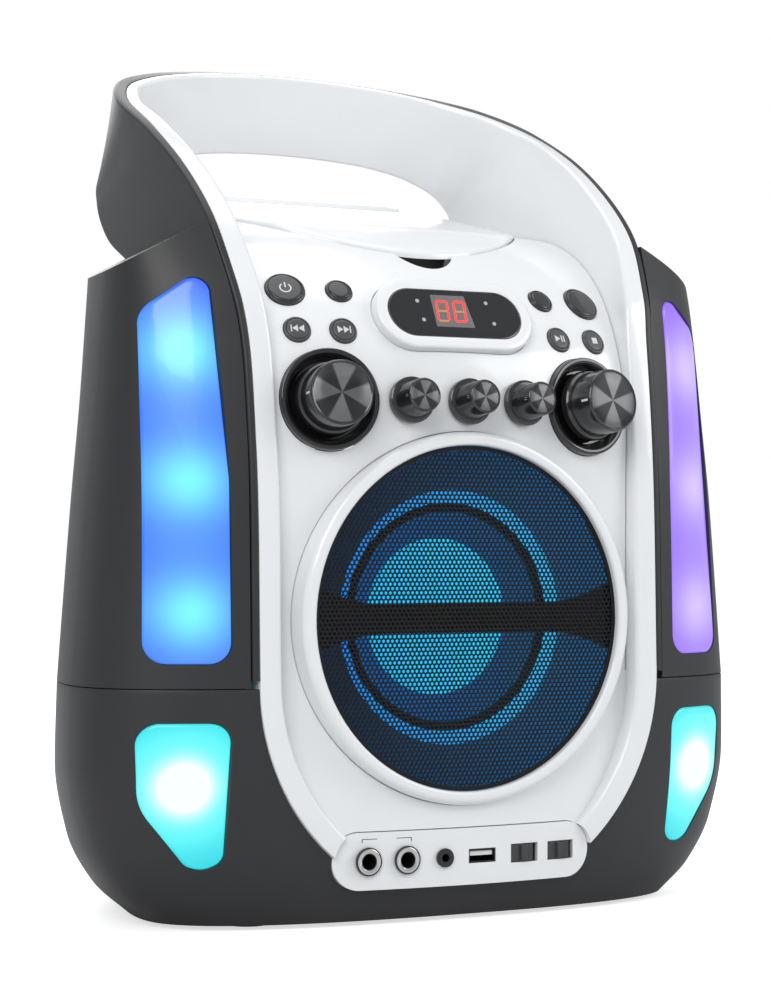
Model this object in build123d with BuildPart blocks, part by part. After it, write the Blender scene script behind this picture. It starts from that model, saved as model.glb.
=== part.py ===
from build123d import *
from math import asin, cos, degrees, radians, sin, sqrt, tan
import os

os.makedirs("parts", exist_ok=True)

# Karaoke machine with a disc player under a top lid. X to the right, Y to the rear, Z up, in mm.
# Depths are counted rearwards from the front plane of the speaker ring.

# Whole object
overall_depth = 226.0
knob_reach = 11.84
front_y = knob_reach - overall_depth / 2

# Clearances
part_gap = 0.3
running_gap = 0.08
seat_gap = 0.2
layer_gap = 0.35

# Black housing: height, half width, reach to the front and reach to the rear from the widest line
widest_depth = 61.0
housing_wall = 3.0
base_levels = [
    (2.0, 126.0, 48.5, 132.0),
    (15.0, 141.0, 51.5, 138.5),
    (36.0, 154.5, 55.5, 141.5),
    (68.0, 162.2, 60.0, 142.0),
    (103.0, 161.3, 62.5, 142.0),
]
upper_levels = [
    (103.0, 161.3, 62.5, 142.0),
    (182.5, 154.6, 61.0, 142.0),
    (228.0, 150.2, 57.0, 142.0),
    (270.0, 147.0, 49.0, 142.0),
    (304.0, 144.6, 31.0, 142.0),
]
roundness = 2.6
rear_flat = 0.46
flank_power = 1.75
front_steps = 9
rear_steps = 8
cover_seam = 150.0
cover_top = 290.0
panel_inner = 102.7
shoulder_height = 302.3
shoulder_x = 108.6
shoulder_depth = 38.3
shoulder_fall_out = 0.52
shoulder_fall_back = 0.093

# White fascia and deck
fascia_depth = 5.0
fascia_wall = 3.0
bow_radius = 394.0
arc_start = 213.0
arc_radius = 98.4
arc_sweep = 80.0
arc_steps = 8
deck_rear = 192.0
rim_centre = 106.0
rim_reach = 20.0
fascia_low = 30.0
rim_outer = 98.9
rim_width = 10.5
rim_depth = 5.4

# Speaker
speaker_height = 131.5
bezel_inner = 75.0
bezel_outer = 81.0
bezel_length = 21.0
bezel_flange = 87.0
bezel_flange_wall = 2.4
bezel_bevel = 2.4
grille_depth = 3.0
grille_wall = 1.0
hole_pitch = 18.0
hole_across = 15.2
bar_half_height = 6.3
bar_end_half_height = 15.5
bar_depth = 6.2
bar_wall = 3.0
baffle_wall = 3.0
baffle_opening = 56.0
basket_outer = 72.0
basket_wall = 1.6
cone_outer = 48.0
cap_radius = 35.0
cap_rise = 9.0
cone_depth = 24.0
cone_wall = 1.2
cone_gap = 1.0
surround_rise = 3.2
neck_radius = 19.0
magnet_radius = 38.0
magnet_length = 15.0
magnet_depth = 56.0

# Controls
knob_height = 225.2
volume_x = 64.3
dial_radius = 22.0
dial_proud = 2.0
volume_knob_radius = 14.0
volume_knob_reach = 19.5
tone_spacing = 28.0
tone_collar_radius = 10.2
tone_knob_radius = 7.4
tone_knob_reach = 16.8
pot_bushing = 4.4
pot_body = 16.0
pot_thickness = 8.0
pot_clearance = 0.8
shaft_radius = 3.0
button_proud = 1.4
button_travel = 1.0
large_button_depth = 5.0
small_button_depth = 6.6
pillar_clearance = 1.4
large_button_radius = 8.8
small_button_radius = 6.0
button_upper_height = 273.2
button_lower_height = 255.2
board_thickness = 1.6

# Display
display_height = 263.3
display_tilt = 26.0
pod_width = 78.0
pod_height = 35.0
pod_proud = 3.0
pod_length = 9.0
control_board_drop = 17.0
control_board_width = 168.0
control_board_height = 46.0
window_width = 66.0
window_height = 24.0
window_thickness = 2.0

# Jack plate
plate_width = 127.5
plate_height = 24.6
plate_centre = 28.3
plate_depth = 3.4
plate_thickness = 9.0
plate_wall = 2.4
mic_jack_x = (-48.0, -30.1)
mic_jack_bore = 3.25
mic_ring_radius = 6.1
mic_sleeve = 5.0
aux_jack_x = -12.0
aux_jack_bore = 1.8
aux_ring_radius = 4.1
aux_sleeve = 3.2
ferrule_proud = 1.0
sleeve_length = 5.0
plug_length = 16.0
usb_x = 6.9
usb_width = 13.1
usb_height = 5.6
usb_wall = 0.4
usb_tongue = 1.8
usb_cavity = 12.0
switch_x = (28.7, 48.3)
switch_slot = 14.2
switch_slot_height = 8.2
switch_cap = 11.0
switch_travel = 2.6
jack_board_depth = 26.0

# Disc deck
lid_radius = 82.0
lid_centre = 128.1
lid_half_width = 75.0
lid_gap = 0.9
lid_crest = 332.6
lid_slope = 12.5
lid_run = 112.0
lid_front_thickness = 3.6
lid_rear_thickness = 8.4
lid_proud = 1.2
lid_embed = 1.8
lid_wall = 2.2
hinge_depth = 181.0
hinge_barrel = 5.2
hinge_half_length = 52.0
hinge_pin_radius = 1.6
hinge_ear = 6.0
hinge_ear_radius = 4.8
ear_pad_drop = 2.8
hinge_pin_length = 14.0
notch_radius = 17.0
notch_depth = 54.7
notch_floor = 284.5
well_centre = 118.0
well_height = 308.0
well_tilt = 12.0
well_radius = 63.0
well_floor_drop = 4.5
well_wall = 2.4
turntable_radius = 14.0
disc_bore_radius = 7.4
turntable_drop = 0.6
turntable_wall = 2.6
hub_rise = 2.6
motor_radius = 10.0
motor_length = 10.0
motor_plate_width = 30.0
motor_plate_height = 38.0
motor_plate_aside = 3.3
motor_shaft = 1.0
sled_start = 27.0
sled_length = 20.0
sled_width = 30.0
sled_height = 7.0
rail_radius = 1.5

# Lenses
side_lens = [(110.2, 113.5), (144.0, 113.5), (141.0, 262.0), (114.8, 281.5), (110.3, 190.0)]
side_lens_rounds = (9.0, 9.0, 12.0, 6.0, 60.0)
base_lens = [(110.0, 88.6), (146.8, 88.6), (145.2, 54.0), (122.0, 24.5), (110.6, 30.5)]
base_lens_rounds = (8.0, 9.0, 24.0, 10.0, 6.0)

# Carrying arch: front point, rear point, white and black thickness, from the foot to the top
arch_stations = [
    ((98.9, 5.4, 106.4), (98.9, 34.0, 106.4), 10.5, 3.2),
    ((99.2, 9.5, 205.0), (99.0, 46.0, 205.0), 10.5, 3.2),
    ((100.4, 16.5, 256.0), (99.3, 92.0, 262.0), 10.5, 3.2),
    ((103.4, 24.5, 280.0), (99.5, 141.0, 292.6), 10.2, 3.4),
    ((106.5, 40.6, 307.0), (99.4, 166.0, 305.0), 9.6, 3.6),
    ((107.9, 66.0, 329.5), (99.2, 177.0, 315.0), 9.0, 3.9),
    ((108.6, 100.0, 351.0), (98.0, 183.5, 325.0), 8.0, 4.6),
    ((105.9, 136.0, 368.2), (94.5, 187.5, 334.0), 6.8, 5.8),
    ((96.0, 158.5, 378.6), (86.0, 190.0, 341.5), 5.6, 6.8),
    ((80.0, 172.5, 385.4), (72.0, 192.5, 348.0), 4.6, 7.6),
    ((56.0, 184.0, 391.0), (52.0, 196.5, 353.4), 3.8, 8.4),
    ((28.0, 193.0, 394.6), (27.0, 202.5, 356.8), 3.2, 8.8),
    ((0.0, 196.2, 395.7), (0.0, 205.4, 358.0), 3.0, 9.0),
]


def y_at(depth):
    return front_y + depth


def front_plane(depth):
    return Plane(origin=(0, y_at(depth), 0), x_dir=(1, 0, 0), z_dir=(0, -1, 0))


def corner_points(half_width, reach, power, steps):
    # A superellipse's quarter, from its end on the middle plane to its side
    turns = [radians(90 * (1 - step / steps)) for step in range(steps + 1)]
    return [(half_width * cos(turn) ** (2 / power), reach * sin(turn) ** (2 / power)) for turn in turns]


def plan_outline(half_width, front_reach, rear_reach):
    # Right half of the plan: a superelliptic front, and a rear that is flat between rounded flanks
    middle = y_at(widest_depth)
    flat = rear_flat * half_width
    front = [(x, middle - y) for x, y in corner_points(half_width, front_reach, roundness, front_steps)]
    rear = [(flat + x, middle + y) for x, y in corner_points(half_width - flat, rear_reach, flank_power, rear_steps)]
    Polyline(*front, *rear[-2::-1], (0, middle + rear_reach), close=True)


def housing(levels, inset=0.0, floor=0.0, lift=0.0):
    # The black body between its lowest and highest level, drawn in by an inset
    lowest, highest = levels[0][0], levels[-1][0]
    with BuildPart() as body:
        for height, half_width, front_reach, rear_reach in levels:
            raised = height + floor * (height == lowest) + lift * (height == highest)
            with BuildSketch(Plane.XY.offset(raised)):
                with BuildLine():
                    plan_outline(half_width - inset, front_reach - inset, rear_reach - inset)
                make_face()
        loft(ruled=True)
        mirror(about=Plane.YZ)
    return body.part


def shoulder_plane(side, drop=0.0):
    origin = (side * shoulder_x, y_at(shoulder_depth), shoulder_height - drop)
    normal = (side * shoulder_fall_out, shoulder_fall_back, 1)
    return Plane(origin=origin, z_dir=normal)


def panel_strip(offset, thickness, rear, low=0.0):
    # Side profile of the fascia and the deck, swept about the upright bow axis
    turns = [radians(arc_sweep * step / arc_steps) for step in range(arc_steps + 1)]
    sides = []
    for radius in (arc_radius + offset, arc_radius + offset - thickness):
        depths = [(fascia_depth + arc_radius - radius * cos(turn), arc_start + radius * sin(turn)) for turn in turns]
        end_depth, end_height = depths[-1]
        rise = (rear - end_depth) * tan(radians(90 - arc_sweep))
        sides.append([(depths[0][0], low), *depths, (rear, end_height + rise)])
    corners = [(y_at(depth), height) for depth, height in sides[0] + sides[1][::-1]]
    with BuildPart() as strip:
        with BuildSketch(Plane.YZ):
            with BuildLine():
                Polyline(*corners, close=True)
            make_face()
        revolve(axis=Axis((0, y_at(fascia_depth + bow_radius), 0), (0, 0, 1)), revolution_arc=30)
        mirror(about=Plane.YZ)
    return strip.part


def panel_plane(x, height, sink=0.0):
    # Plane that touches the fascia at a point of its front view, facing outwards
    rise = max(0.0, height - arc_start) / arc_radius
    profile_depth = fascia_depth + arc_radius * (1 - sqrt(1 - rise * rise))
    turning = bow_radius + fascia_depth - profile_depth
    aside = asin(x / turning)
    depth = fascia_depth + bow_radius - turning * cos(aside)
    lean = asin(rise)
    normal = Vector(sin(aside) * cos(lean), -cos(aside) * cos(lean), sin(lean))
    origin = Vector(x, y_at(depth), height) - normal * sink
    return Plane(origin=origin, x_dir=(cos(aside), sin(aside), 0), z_dir=normal)


def station_frames():
    # Station planes of the arch: X runs from the front point to the rear point, Y points outwards
    spots = []
    for front, rear, white, black in arch_stations:
        ahead = Vector(front[0], y_at(front[1]), front[2])
        behind = Vector(rear[0], y_at(rear[1]), rear[2])
        spots.append((ahead, behind, white, black))
    middles = [(ahead + behind) / 2 for ahead, behind, white, black in spots]
    last = middles[-2]
    middles.append(Vector(-last.X, last.Y, last.Z))
    middles.insert(0, middles[0] - Vector(0, 0, 10))
    frames = []
    for index, (ahead, behind, white, black) in enumerate(spots):
        along = (behind - ahead).normalized()
        travel = (middles[index + 2] - middles[index]).normalized()
        outward = along.cross(travel).normalized()
        plane = Plane(origin=ahead, x_dir=along, z_dir=along.cross(outward))
        frames.append((plane, (behind - ahead).length, white, black))
    return frames


def arch_band(white_share, white_extra, black_share, black_extra, ahead=0.0, behind=0.0):
    # Both halves of a layer of the arch, between two offsets from the line where the colours meet
    with BuildPart() as band:
        for plane, length, white, black in station_frames():
            low = -white * white_share - white_extra
            high = black * black_share + black_extra
            with BuildSketch(plane):
                with Locations(((length + behind - ahead) / 2, (low + high) / 2)):
                    Rectangle(length + ahead + behind, high - low)
        loft(ruled=True)
        mirror(about=Plane.YZ)
    return band.part


def lens_outline(corners, rounds, side, grow):
    # Front view of a lens, with its corners rounded
    with BuildSketch(front_plane(-30)) as outline:
        with BuildLine():
            FilletPolyline(*[(side * x, z) for x, z in corners], radius=list(rounds), close=True)
        make_face()
        if grow:
            offset(amount=grow)
    return outline.sketch


def speaker_plane(depth):
    return Plane(origin=(0, y_at(depth), speaker_height), x_dir=(1, 0, 0), z_dir=(0, -1, 0))


def lid_outline(grow=0.0):
    # Plan of the lid: a round front between straight sides
    with BuildSketch(Plane.XY.offset(250)) as outline:
        with Locations((0, y_at(lid_centre))):
            Circle(lid_radius + grow)
        side = 2 * (lid_half_width + grow)
        rear = hinge_depth + grow
        with Locations((0, y_at(rear - (rear - lid_centre) / 2))):
            Rectangle(2 * (lid_radius + grow), rear - lid_centre)
        with Locations((0, y_at(rear - 100))):
            Rectangle(side, 200, mode=Mode.INTERSECT)
    return outline.sketch


def well_plane(rise=0.0):
    tilt = radians(well_tilt)
    normal = Vector(0, -sin(tilt), cos(tilt))
    origin = Vector(0, y_at(well_centre), well_height) + normal * rise
    return Plane(origin=origin, x_dir=(1, 0, 0), z_dir=normal)


def finish(piece, label):
    piece.part.label = label
    export_step(piece.part, f"parts/{label}.step")


base_outer = housing(base_levels)
base_hollow = housing(base_levels[::2], housing_wall, floor=housing_wall, lift=1)
upper_outer = housing(upper_levels)
upper_hollow = housing(upper_levels[::2], housing_wall, floor=-1, lift=1)
cover_plane = Plane(origin=(0, y_at(cover_seam), 0), z_dir=(0, -1, 0))

# Base shell: the lower black housing, open at the top, the rear and round the fascia
foot_spots = [(-88, 42), (88, 42), (-80, 135), (80, 135)]
foot_radius = 10.0
post_width = 7.0
main_board_height = 14.0
jack_post = 6.0
jack_post_x = 56.0
jack_board_top = plate_centre + 9.0
main_board_spots = [(x, depth) for x in (10, 96) for depth in (88, 140)]
transformer_spot = (-55, 112)

with BuildPart() as base_shell:
    add(base_outer)
    add(base_hollow, mode=Mode.SUBTRACT)
    with BuildSketch(front_plane(-20)):
        with Locations((0, rim_centre)):
            Circle(rim_outer + part_gap)
        with Locations((0, fascia_low - part_gap + 100)):
            Rectangle(240, 200, mode=Mode.INTERSECT)
        with Locations((0, plate_centre)):
            SlotOverall(plate_width + 2 * part_gap, plate_height + 2 * part_gap)
    extrude(amount=-60, mode=Mode.SUBTRACT)
    with BuildPart(mode=Mode.PRIVATE) as horns:
        add(upper_outer)
        add(upper_hollow, mode=Mode.SUBTRACT)
        with BuildSketch(front_plane(-20)):
            for side in (-1, 1):
                with Locations((side * (rim_outer + panel_inner) / 2, base_levels[-1][0])):
                    Rectangle(panel_inner - rim_outer - 2 * part_gap, 2 * (rim_centre - base_levels[-1][0]))
        extrude(amount=-60, mode=Mode.INTERSECT)
    add(horns.part)
    split(bisect_by=cover_plane, keep=Keep.TOP)
    floor_top = base_levels[0][0] + housing_wall
    for x, depth in main_board_spots:
        with BuildSketch(Plane.XY.offset(floor_top - 1)):
            with Locations((x, y_at(depth))):
                Rectangle(post_width, post_width)
        extrude(amount=main_board_height - floor_top + 1)
    for side in (-1, 1):
        with BuildSketch(Plane.XY.offset(floor_top - 1)):
            with Locations((side * jack_post_x, y_at(jack_board_depth + board_thickness + jack_post / 2))):
                Rectangle(jack_post, jack_post)
        extrude(amount=jack_board_top - floor_top + 1)
    for side in (-1, 1):
        extrude(lens_outline(base_lens, base_lens_rounds, side, part_gap), amount=-90, mode=Mode.SUBTRACT)
finish(base_shell, "base_shell")

# Side panels: the upper black covers with the tall lens windows, and posts for the light boards
light_board_depth = 46.0
light_post = 5.0
light_posts = [(125, 108.5, 15.5), (118, 288, 33)]
arch_clearance = arch_band(0, 4, 1, part_gap, ahead=4, behind=2)
for side, name in ((-1, "left"), (1, "right")):
    with BuildPart() as side_panel:
        add(upper_outer)
        split(bisect_by=shoulder_plane(side), keep=Keep.BOTTOM)
        with BuildPart(mode=Mode.PRIVATE) as hollow:
            add(upper_hollow)
            split(bisect_by=shoulder_plane(side, housing_wall), keep=Keep.BOTTOM)
        add(hollow.part, mode=Mode.SUBTRACT)
        split(bisect_by=Plane(origin=(side * panel_inner, 0, 0), z_dir=(side, 0, 0)), keep=Keep.TOP)
        split(bisect_by=cover_plane, keep=Keep.TOP)
        split(bisect_by=Plane.XY.offset(upper_levels[0][0] + part_gap), keep=Keep.TOP)
        add(arch_clearance, mode=Mode.SUBTRACT)
        for x, height, reach in light_posts:
            with BuildSketch(front_plane(light_board_depth)):
                with Locations((side * x, height)):
                    Rectangle(light_post, light_post)
            extrude(amount=light_board_depth - reach)
        extrude(lens_outline(side_lens, side_lens_rounds, side, part_gap), amount=-90, mode=Mode.SUBTRACT)
    finish(side_panel, f"side_panel_{name}")

# Lenses: translucent windows that follow the curve of the housing
for kind, corners, rounds, outer, hollow in (
    ("side", side_lens, side_lens_rounds, upper_outer, upper_hollow),
    ("base", base_lens, base_lens_rounds, base_outer, base_hollow),
):
    for side, name in ((-1, "left"), (1, "right")):
        with BuildPart() as lens:
            add(outer)
            add(hollow, mode=Mode.SUBTRACT)
            extrude(lens_outline(corners, rounds, side, 0), amount=-80, mode=Mode.INTERSECT)
        finish(lens, f"{kind}_lens_{name}")

# Light boards: a strip on each side that carries the lamps behind both lenses
lamp_width = 7.0
lamp_heights = (58, 135, 190, 245)
lamp_x = 126.0
for side, name in ((-1, "left"), (1, "right")):
    with BuildPart() as light_board:
        with BuildSketch(front_plane(light_board_depth)):
            with BuildLine():
                corners = [(112, 38), (138, 38), (138, 272), (123, 287), (112, 287)]
                Polyline(*[(side * x, z) for x, z in corners], close=True)
            make_face()
        extrude(amount=-board_thickness)
        for height in lamp_heights:
            with BuildSketch(front_plane(light_board_depth)):
                with Locations((side * lamp_x, height)):
                    Rectangle(lamp_width, lamp_width)
            extrude(amount=lamp_width / 2)
    finish(light_board, f"light_board_{name}")

# Carrying arch: a white inner shell whose front edge is the rim of the fascia, and a black outer shell
with BuildPart() as handle_inner:
    add(arch_band(1, 0, 0, 0))
finish(handle_inner, "handle_inner")

with BuildPart() as handle_outer:
    add(arch_band(0, -layer_gap, 1, 0))
finish(handle_outer, "handle_outer")

# Fascia and deck: one white moulding, bowed across, with the lower rim, the lid opening and hinge ears
fin_cutter = arch_band(1, 2 * part_gap, 0, 20, ahead=4, behind=30)
hinge_height = lid_crest - hinge_barrel
hinge_axis_y = y_at(hinge_depth)
buttons = {
    "power_button": (-75.0, button_upper_height, large_button_radius),
    "repeat_button": (-51.0, button_upper_height, small_button_radius),
    "previous_button": (-74.6, button_lower_height, small_button_radius),
    "next_button": (-54.2, button_lower_height, small_button_radius),
    "program_button": (51.0, button_upper_height, small_button_radius),
    "light_show_button": (75.0, button_upper_height, large_button_radius),
    "play_button": (54.2, button_lower_height, small_button_radius),
    "stop_button": (74.6, button_lower_height, small_button_radius),
}
volume_spots = {"mic_volume_knob": -volume_x, "master_volume_knob": volume_x}
tone_spots = {"echo_knob": -tone_spacing, "talk_over_knob": 0.0, "balance_knob": tone_spacing}
display_tilt_angle = radians(display_tilt)
display_origin = panel_plane(0, display_height).origin
display_normal = Vector(0, -cos(display_tilt_angle), sin(display_tilt_angle))


def display_plane(rise=0.0):
    return Plane(origin=display_origin + display_normal * rise, x_dir=(1, 0, 0), z_dir=display_normal)


def barrel(radius, start, end):
    # A round solid along the hinge line, between two distances from the middle plane
    with BuildPart() as rod:
        with BuildSketch(Plane(origin=(start, hinge_axis_y, hinge_height), x_dir=(0, 1, 0), z_dir=(1, 0, 0))):
            Circle(radius)
        extrude(amount=end - start)
    return rod.part


control_posts = [(44, -20.5, -4.0), (44, 20.5, -7.4)]
with BuildPart() as front_fascia:
    add(panel_strip(0, fascia_wall, deck_rear))
    with BuildSketch(front_plane(-20)):
        with Locations((0, rim_centre)):
            Circle(rim_outer)
        with Locations((0, rim_centre + 130)):
            Rectangle(208, 260)
        with Locations((0, fascia_low + 180)):
            Rectangle(220, 360, mode=Mode.INTERSECT)
    extrude(amount=-20 - deck_rear, mode=Mode.INTERSECT)
    add(fin_cutter, mode=Mode.SUBTRACT)
    with BuildSketch(front_plane(rim_depth)):
        with Locations((0, rim_centre)):
            Circle(rim_outer)
            Circle(rim_outer - rim_width, mode=Mode.SUBTRACT)
        with Locations((0, (fascia_low + rim_centre) / 2)):
            Rectangle(220, rim_centre - fascia_low, mode=Mode.INTERSECT)
    extrude(amount=-rim_reach + rim_depth)
    with BuildSketch(front_plane(-20)):
        with Locations((0, plate_centre)):
            SlotOverall(plate_width + 2 * part_gap, plate_height + 2 * part_gap)
    extrude(amount=-60, mode=Mode.SUBTRACT)
    with BuildSketch(Plane.XY.offset(notch_floor - fascia_wall)):
        with Locations((0, y_at(notch_depth))):
            Circle(notch_radius + fascia_wall)
    extrude(amount=8.0)
    with BuildSketch(Plane.XY.offset(notch_floor)):
        with Locations((0, y_at(notch_depth))):
            Circle(notch_radius)
    extrude(amount=30, mode=Mode.SUBTRACT)
    extrude(lid_outline(lid_gap), amount=120, mode=Mode.SUBTRACT)
    with BuildSketch(Plane.XY.offset(300)):
        with Locations((0, y_at(hinge_depth))):
            Rectangle(2 * (hinge_half_length + part_gap), 2 * (hinge_barrel + lid_gap))
    extrude(amount=40, mode=Mode.SUBTRACT)
    for side in (-1, 1):
        ear_middle = side * (hinge_half_length + part_gap + hinge_ear / 2)
        add(barrel(hinge_ear_radius, ear_middle - hinge_ear / 2, ear_middle + hinge_ear / 2))
        with BuildSketch(Plane.XY.offset(hinge_height - ear_pad_drop)):
            with Locations((ear_middle, y_at(hinge_depth + hinge_ear_radius))):
                Rectangle(hinge_ear, 2 * hinge_ear_radius)
        extrude(amount=hinge_ear_radius)
        pin_end = hinge_half_length + hinge_ear + 1
        add(barrel(hinge_pin_radius + running_gap, -pin_end, pin_end), mode=Mode.SUBTRACT)
    with BuildSketch(speaker_plane(-20)):
        Circle(bezel_outer + part_gap)
    extrude(amount=-60, mode=Mode.SUBTRACT)
    for x in volume_spots.values():
        with BuildSketch(panel_plane(x, knob_height, -10)):
            Circle(dial_radius + part_gap)
        extrude(amount=-30, mode=Mode.SUBTRACT)
    for x in tone_spots.values():
        with BuildSketch(panel_plane(x, knob_height, -10)):
            Circle(pot_bushing + part_gap)
        extrude(amount=-30, mode=Mode.SUBTRACT)
    for x, height, radius in buttons.values():
        with BuildSketch(panel_plane(x, height, -10)):
            Circle(radius + part_gap)
        extrude(amount=-22, mode=Mode.SUBTRACT)
    for x, up, reach in control_posts:
        for side in (-1, 1):
            with BuildSketch(display_plane(-control_board_drop)):
                with Locations((side * x, up)):
                    Rectangle(5, 5)
            extrude(amount=control_board_drop + reach)
    with BuildSketch(display_plane(20)):
        SlotOverall(pod_width + 2 * part_gap, pod_height + 2 * part_gap)
    extrude(amount=-40, mode=Mode.SUBTRACT)
finish(front_fascia, "front_fascia")

def turned(outline):
    # A ring or disc turned about the speaker's axis from its half section of depths and radii
    with BuildPart() as body:
        with BuildSketch(Plane.YZ):
            with BuildLine():
                Polyline(*[(y_at(depth), speaker_height + radius) for depth, radius in outline], close=True)
            make_face()
        revolve(axis=Axis((0, 0, speaker_height), (0, 1, 0)))
    return body.part


# Speaker bezel: the white ring with its flange and the baffle
with BuildPart() as speaker_bezel:
    back, flange_front = bezel_length, bezel_length - bezel_flange_wall
    bezel_outline = [
        (back, baffle_opening),
        (back - baffle_wall, baffle_opening),
        (back - baffle_wall, bezel_inner),
        (0, bezel_inner),
        (0, bezel_outer - bezel_bevel),
        (bezel_bevel, bezel_outer),
        (flange_front, bezel_outer),
        (flange_front, bezel_flange),
        (back, bezel_flange),
    ]
    add(turned(bezel_outline))
finish(speaker_bezel, "speaker_bezel")

# Grille: a perforated disc
grille_radius = bezel_inner - part_gap
with BuildPart() as speaker_grille:
    with BuildSketch(speaker_plane(grille_depth)):
        Circle(grille_radius)
        hexagons = HexLocations(hole_pitch / 2, 15, 15, major_radius=False).local_locations
        reach = grille_radius - hole_across
        with Locations(*[spot.position for spot in hexagons if spot.position.length < reach]):
            RegularPolygon(hole_across / 2, 6, major_radius=False, mode=Mode.SUBTRACT)
    extrude(amount=-grille_wall)
finish(speaker_grille, "speaker_grille")

# Bar behind the grille, flared where it meets the bezel
with BuildPart() as grille_bar:
    with BuildSketch(speaker_plane(bar_depth)):
        with BuildLine():
            flare_end, flare_start = bezel_inner, 42.0
            half, tall = bar_half_height, bar_end_half_height
            middle = (flare_end + flare_start) / 2
            Line((-flare_start, half), (flare_start, half))
            ThreePointArc((flare_start, half), (middle, half + (tall - half) * 0.3), (flare_end, tall))
            Line((flare_end, tall), (flare_end, -tall))
            ThreePointArc((flare_end, -tall), (middle, -half - (tall - half) * 0.3), (flare_start, -half))
            Line((flare_start, -half), (-flare_start, -half))
            ThreePointArc((-flare_start, -half), (-middle, -half - (tall - half) * 0.3), (-flare_end, -tall))
            Line((-flare_end, -tall), (-flare_end, tall))
            ThreePointArc((-flare_end, tall), (-middle, half + (tall - half) * 0.3), (-flare_start, half))
        make_face()
        Circle(bezel_inner - seat_gap, mode=Mode.INTERSECT)
    extrude(amount=-bar_wall)
finish(grille_bar, "grille_bar")


# Driver: pressed basket, paper cone with its surround, dust cap and magnet
flange_back = bezel_length + 2.2
basket_seat = cone_outer + 8
with BuildPart() as speaker_basket:
    basket_outline = [
        (bezel_length, basket_seat),
        (bezel_length, basket_outer),
        (flange_back, basket_outer),
        (flange_back, basket_seat + 4),
        (magnet_depth, magnet_radius),
        (magnet_depth, magnet_radius - basket_wall - 1),
        (flange_back, basket_seat + 1),
    ]
    add(turned(basket_outline))
    with BuildSketch(speaker_plane(flange_back + 7)):
        with PolarLocations(46, 4, 45):
            Rectangle(30, 34)
    extrude(amount=-(magnet_depth - flange_back - 14), mode=Mode.SUBTRACT)
finish(speaker_basket, "speaker_basket")

cap_seat = cone_depth + (cone_outer - cap_radius) * 0.75
cone_back = cone_depth + (cone_outer - neck_radius) * 0.75
surround_middle = (cone_outer + basket_seat) / 2
with BuildPart() as speaker_cone:
    cone_outline = [
        (cone_depth, basket_seat - cone_gap),
        (cone_depth - surround_rise, surround_middle),
        (cone_depth, cone_outer),
        (cone_back, neck_radius),
        (cone_back + cone_wall, neck_radius),
        (cone_depth + cone_wall, cone_outer),
        (cone_depth + cone_wall, basket_seat - cone_gap),
    ]
    add(turned(cone_outline))
finish(speaker_cone, "speaker_cone")

with BuildPart() as dust_cap:
    cap_outline = [
        (cap_seat - seat_gap, cap_radius),
        (cap_seat - cap_rise * 0.7, cap_radius * 0.55),
        (cap_seat - cap_rise, 0),
        (cap_seat - seat_gap, 0),
    ]
    add(turned(cap_outline))
finish(dust_cap, "dust_cap")

with BuildPart() as speaker_magnet:
    with BuildSketch(speaker_plane(magnet_depth)):
        Circle(magnet_radius)
    extrude(amount=-magnet_length)
finish(speaker_magnet, "speaker_magnet")

# Volume dials: glossy dishes round the large knobs
dial_depth = 5.0
dial_wall = 2.0
with BuildPart() as volume_dials:
    for x in volume_spots.values():
        with BuildSketch(panel_plane(x, knob_height, -dial_proud)) as face:
            Circle(dial_radius)
        extrude(amount=-dial_depth - dial_proud)
        with BuildSketch(panel_plane(x, knob_height, -dial_proud)):
            Circle(dial_radius - 2 * dial_wall)
        extrude(amount=-dial_depth - dial_proud + dial_wall, mode=Mode.SUBTRACT, taper=12)
        with BuildSketch(panel_plane(x, knob_height, 0)):
            Circle(pot_bushing + part_gap)
        extrude(amount=-20, mode=Mode.SUBTRACT)
finish(volume_dials, "volume_dials")

# Potentiometers: fixed bodies whose bushings reach through the panel
with BuildPart() as potentiometers:
    for x in list(volume_spots.values()) + list(tone_spots.values()):
        seat = dial_depth + seat_gap if x in volume_spots.values() else fascia_wall + pot_clearance
        with BuildSketch(panel_plane(x, knob_height, seat)):
            Rectangle(pot_body, pot_body)
        extrude(amount=-pot_thickness)
        with BuildSketch(panel_plane(x, knob_height, seat)):
            Circle(pot_bushing)
        extrude(amount=seat - 1.0)
        with BuildSketch(panel_plane(x, knob_height, -1)):
            Circle(shaft_radius + running_gap)
        extrude(amount=-seat - pot_thickness, mode=Mode.SUBTRACT)
finish(potentiometers, "potentiometers")


def knob(name, x, radius, reach, lift, collar, collar_wall):
    # A turned cap with a pointer groove, a collar at its foot and the shaft that it turns
    with BuildPart() as cap:
        with BuildSketch(panel_plane(x, knob_height, -lift)):
            Circle(radius + knob_edge)
        extrude(amount=reach - lift - knob_edge)
        with BuildSketch(panel_plane(x, knob_height, knob_edge - reach)):
            Circle(radius + knob_edge)
        extrude(amount=knob_edge, taper=45)
        if collar:
            with BuildSketch(panel_plane(x, knob_height, -lift)):
                Circle(collar)
            extrude(amount=collar_wall)
        with BuildSketch(panel_plane(x, knob_height, -reach)):
            with Locations((-radius * 0.72, 0)):
                Rectangle(radius * 0.5, 0.9)
        extrude(amount=-0.6, mode=Mode.SUBTRACT)
        with BuildSketch(panel_plane(x, knob_height, -lift)):
            Circle(shaft_radius)
        extrude(amount=-lift - shaft_reach)
    finish(cap, name)


shaft_reach = 8.0
knob_edge = 0.8
knob_lift = 1.4
for name, x in volume_spots.items():
    knob(name, x, volume_knob_radius, volume_knob_reach, knob_lift, 0, 0)
for name, x in tone_spots.items():
    knob(name, x, tone_knob_radius, tone_knob_reach, knob_lift, tone_collar_radius, 3.0)

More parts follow.
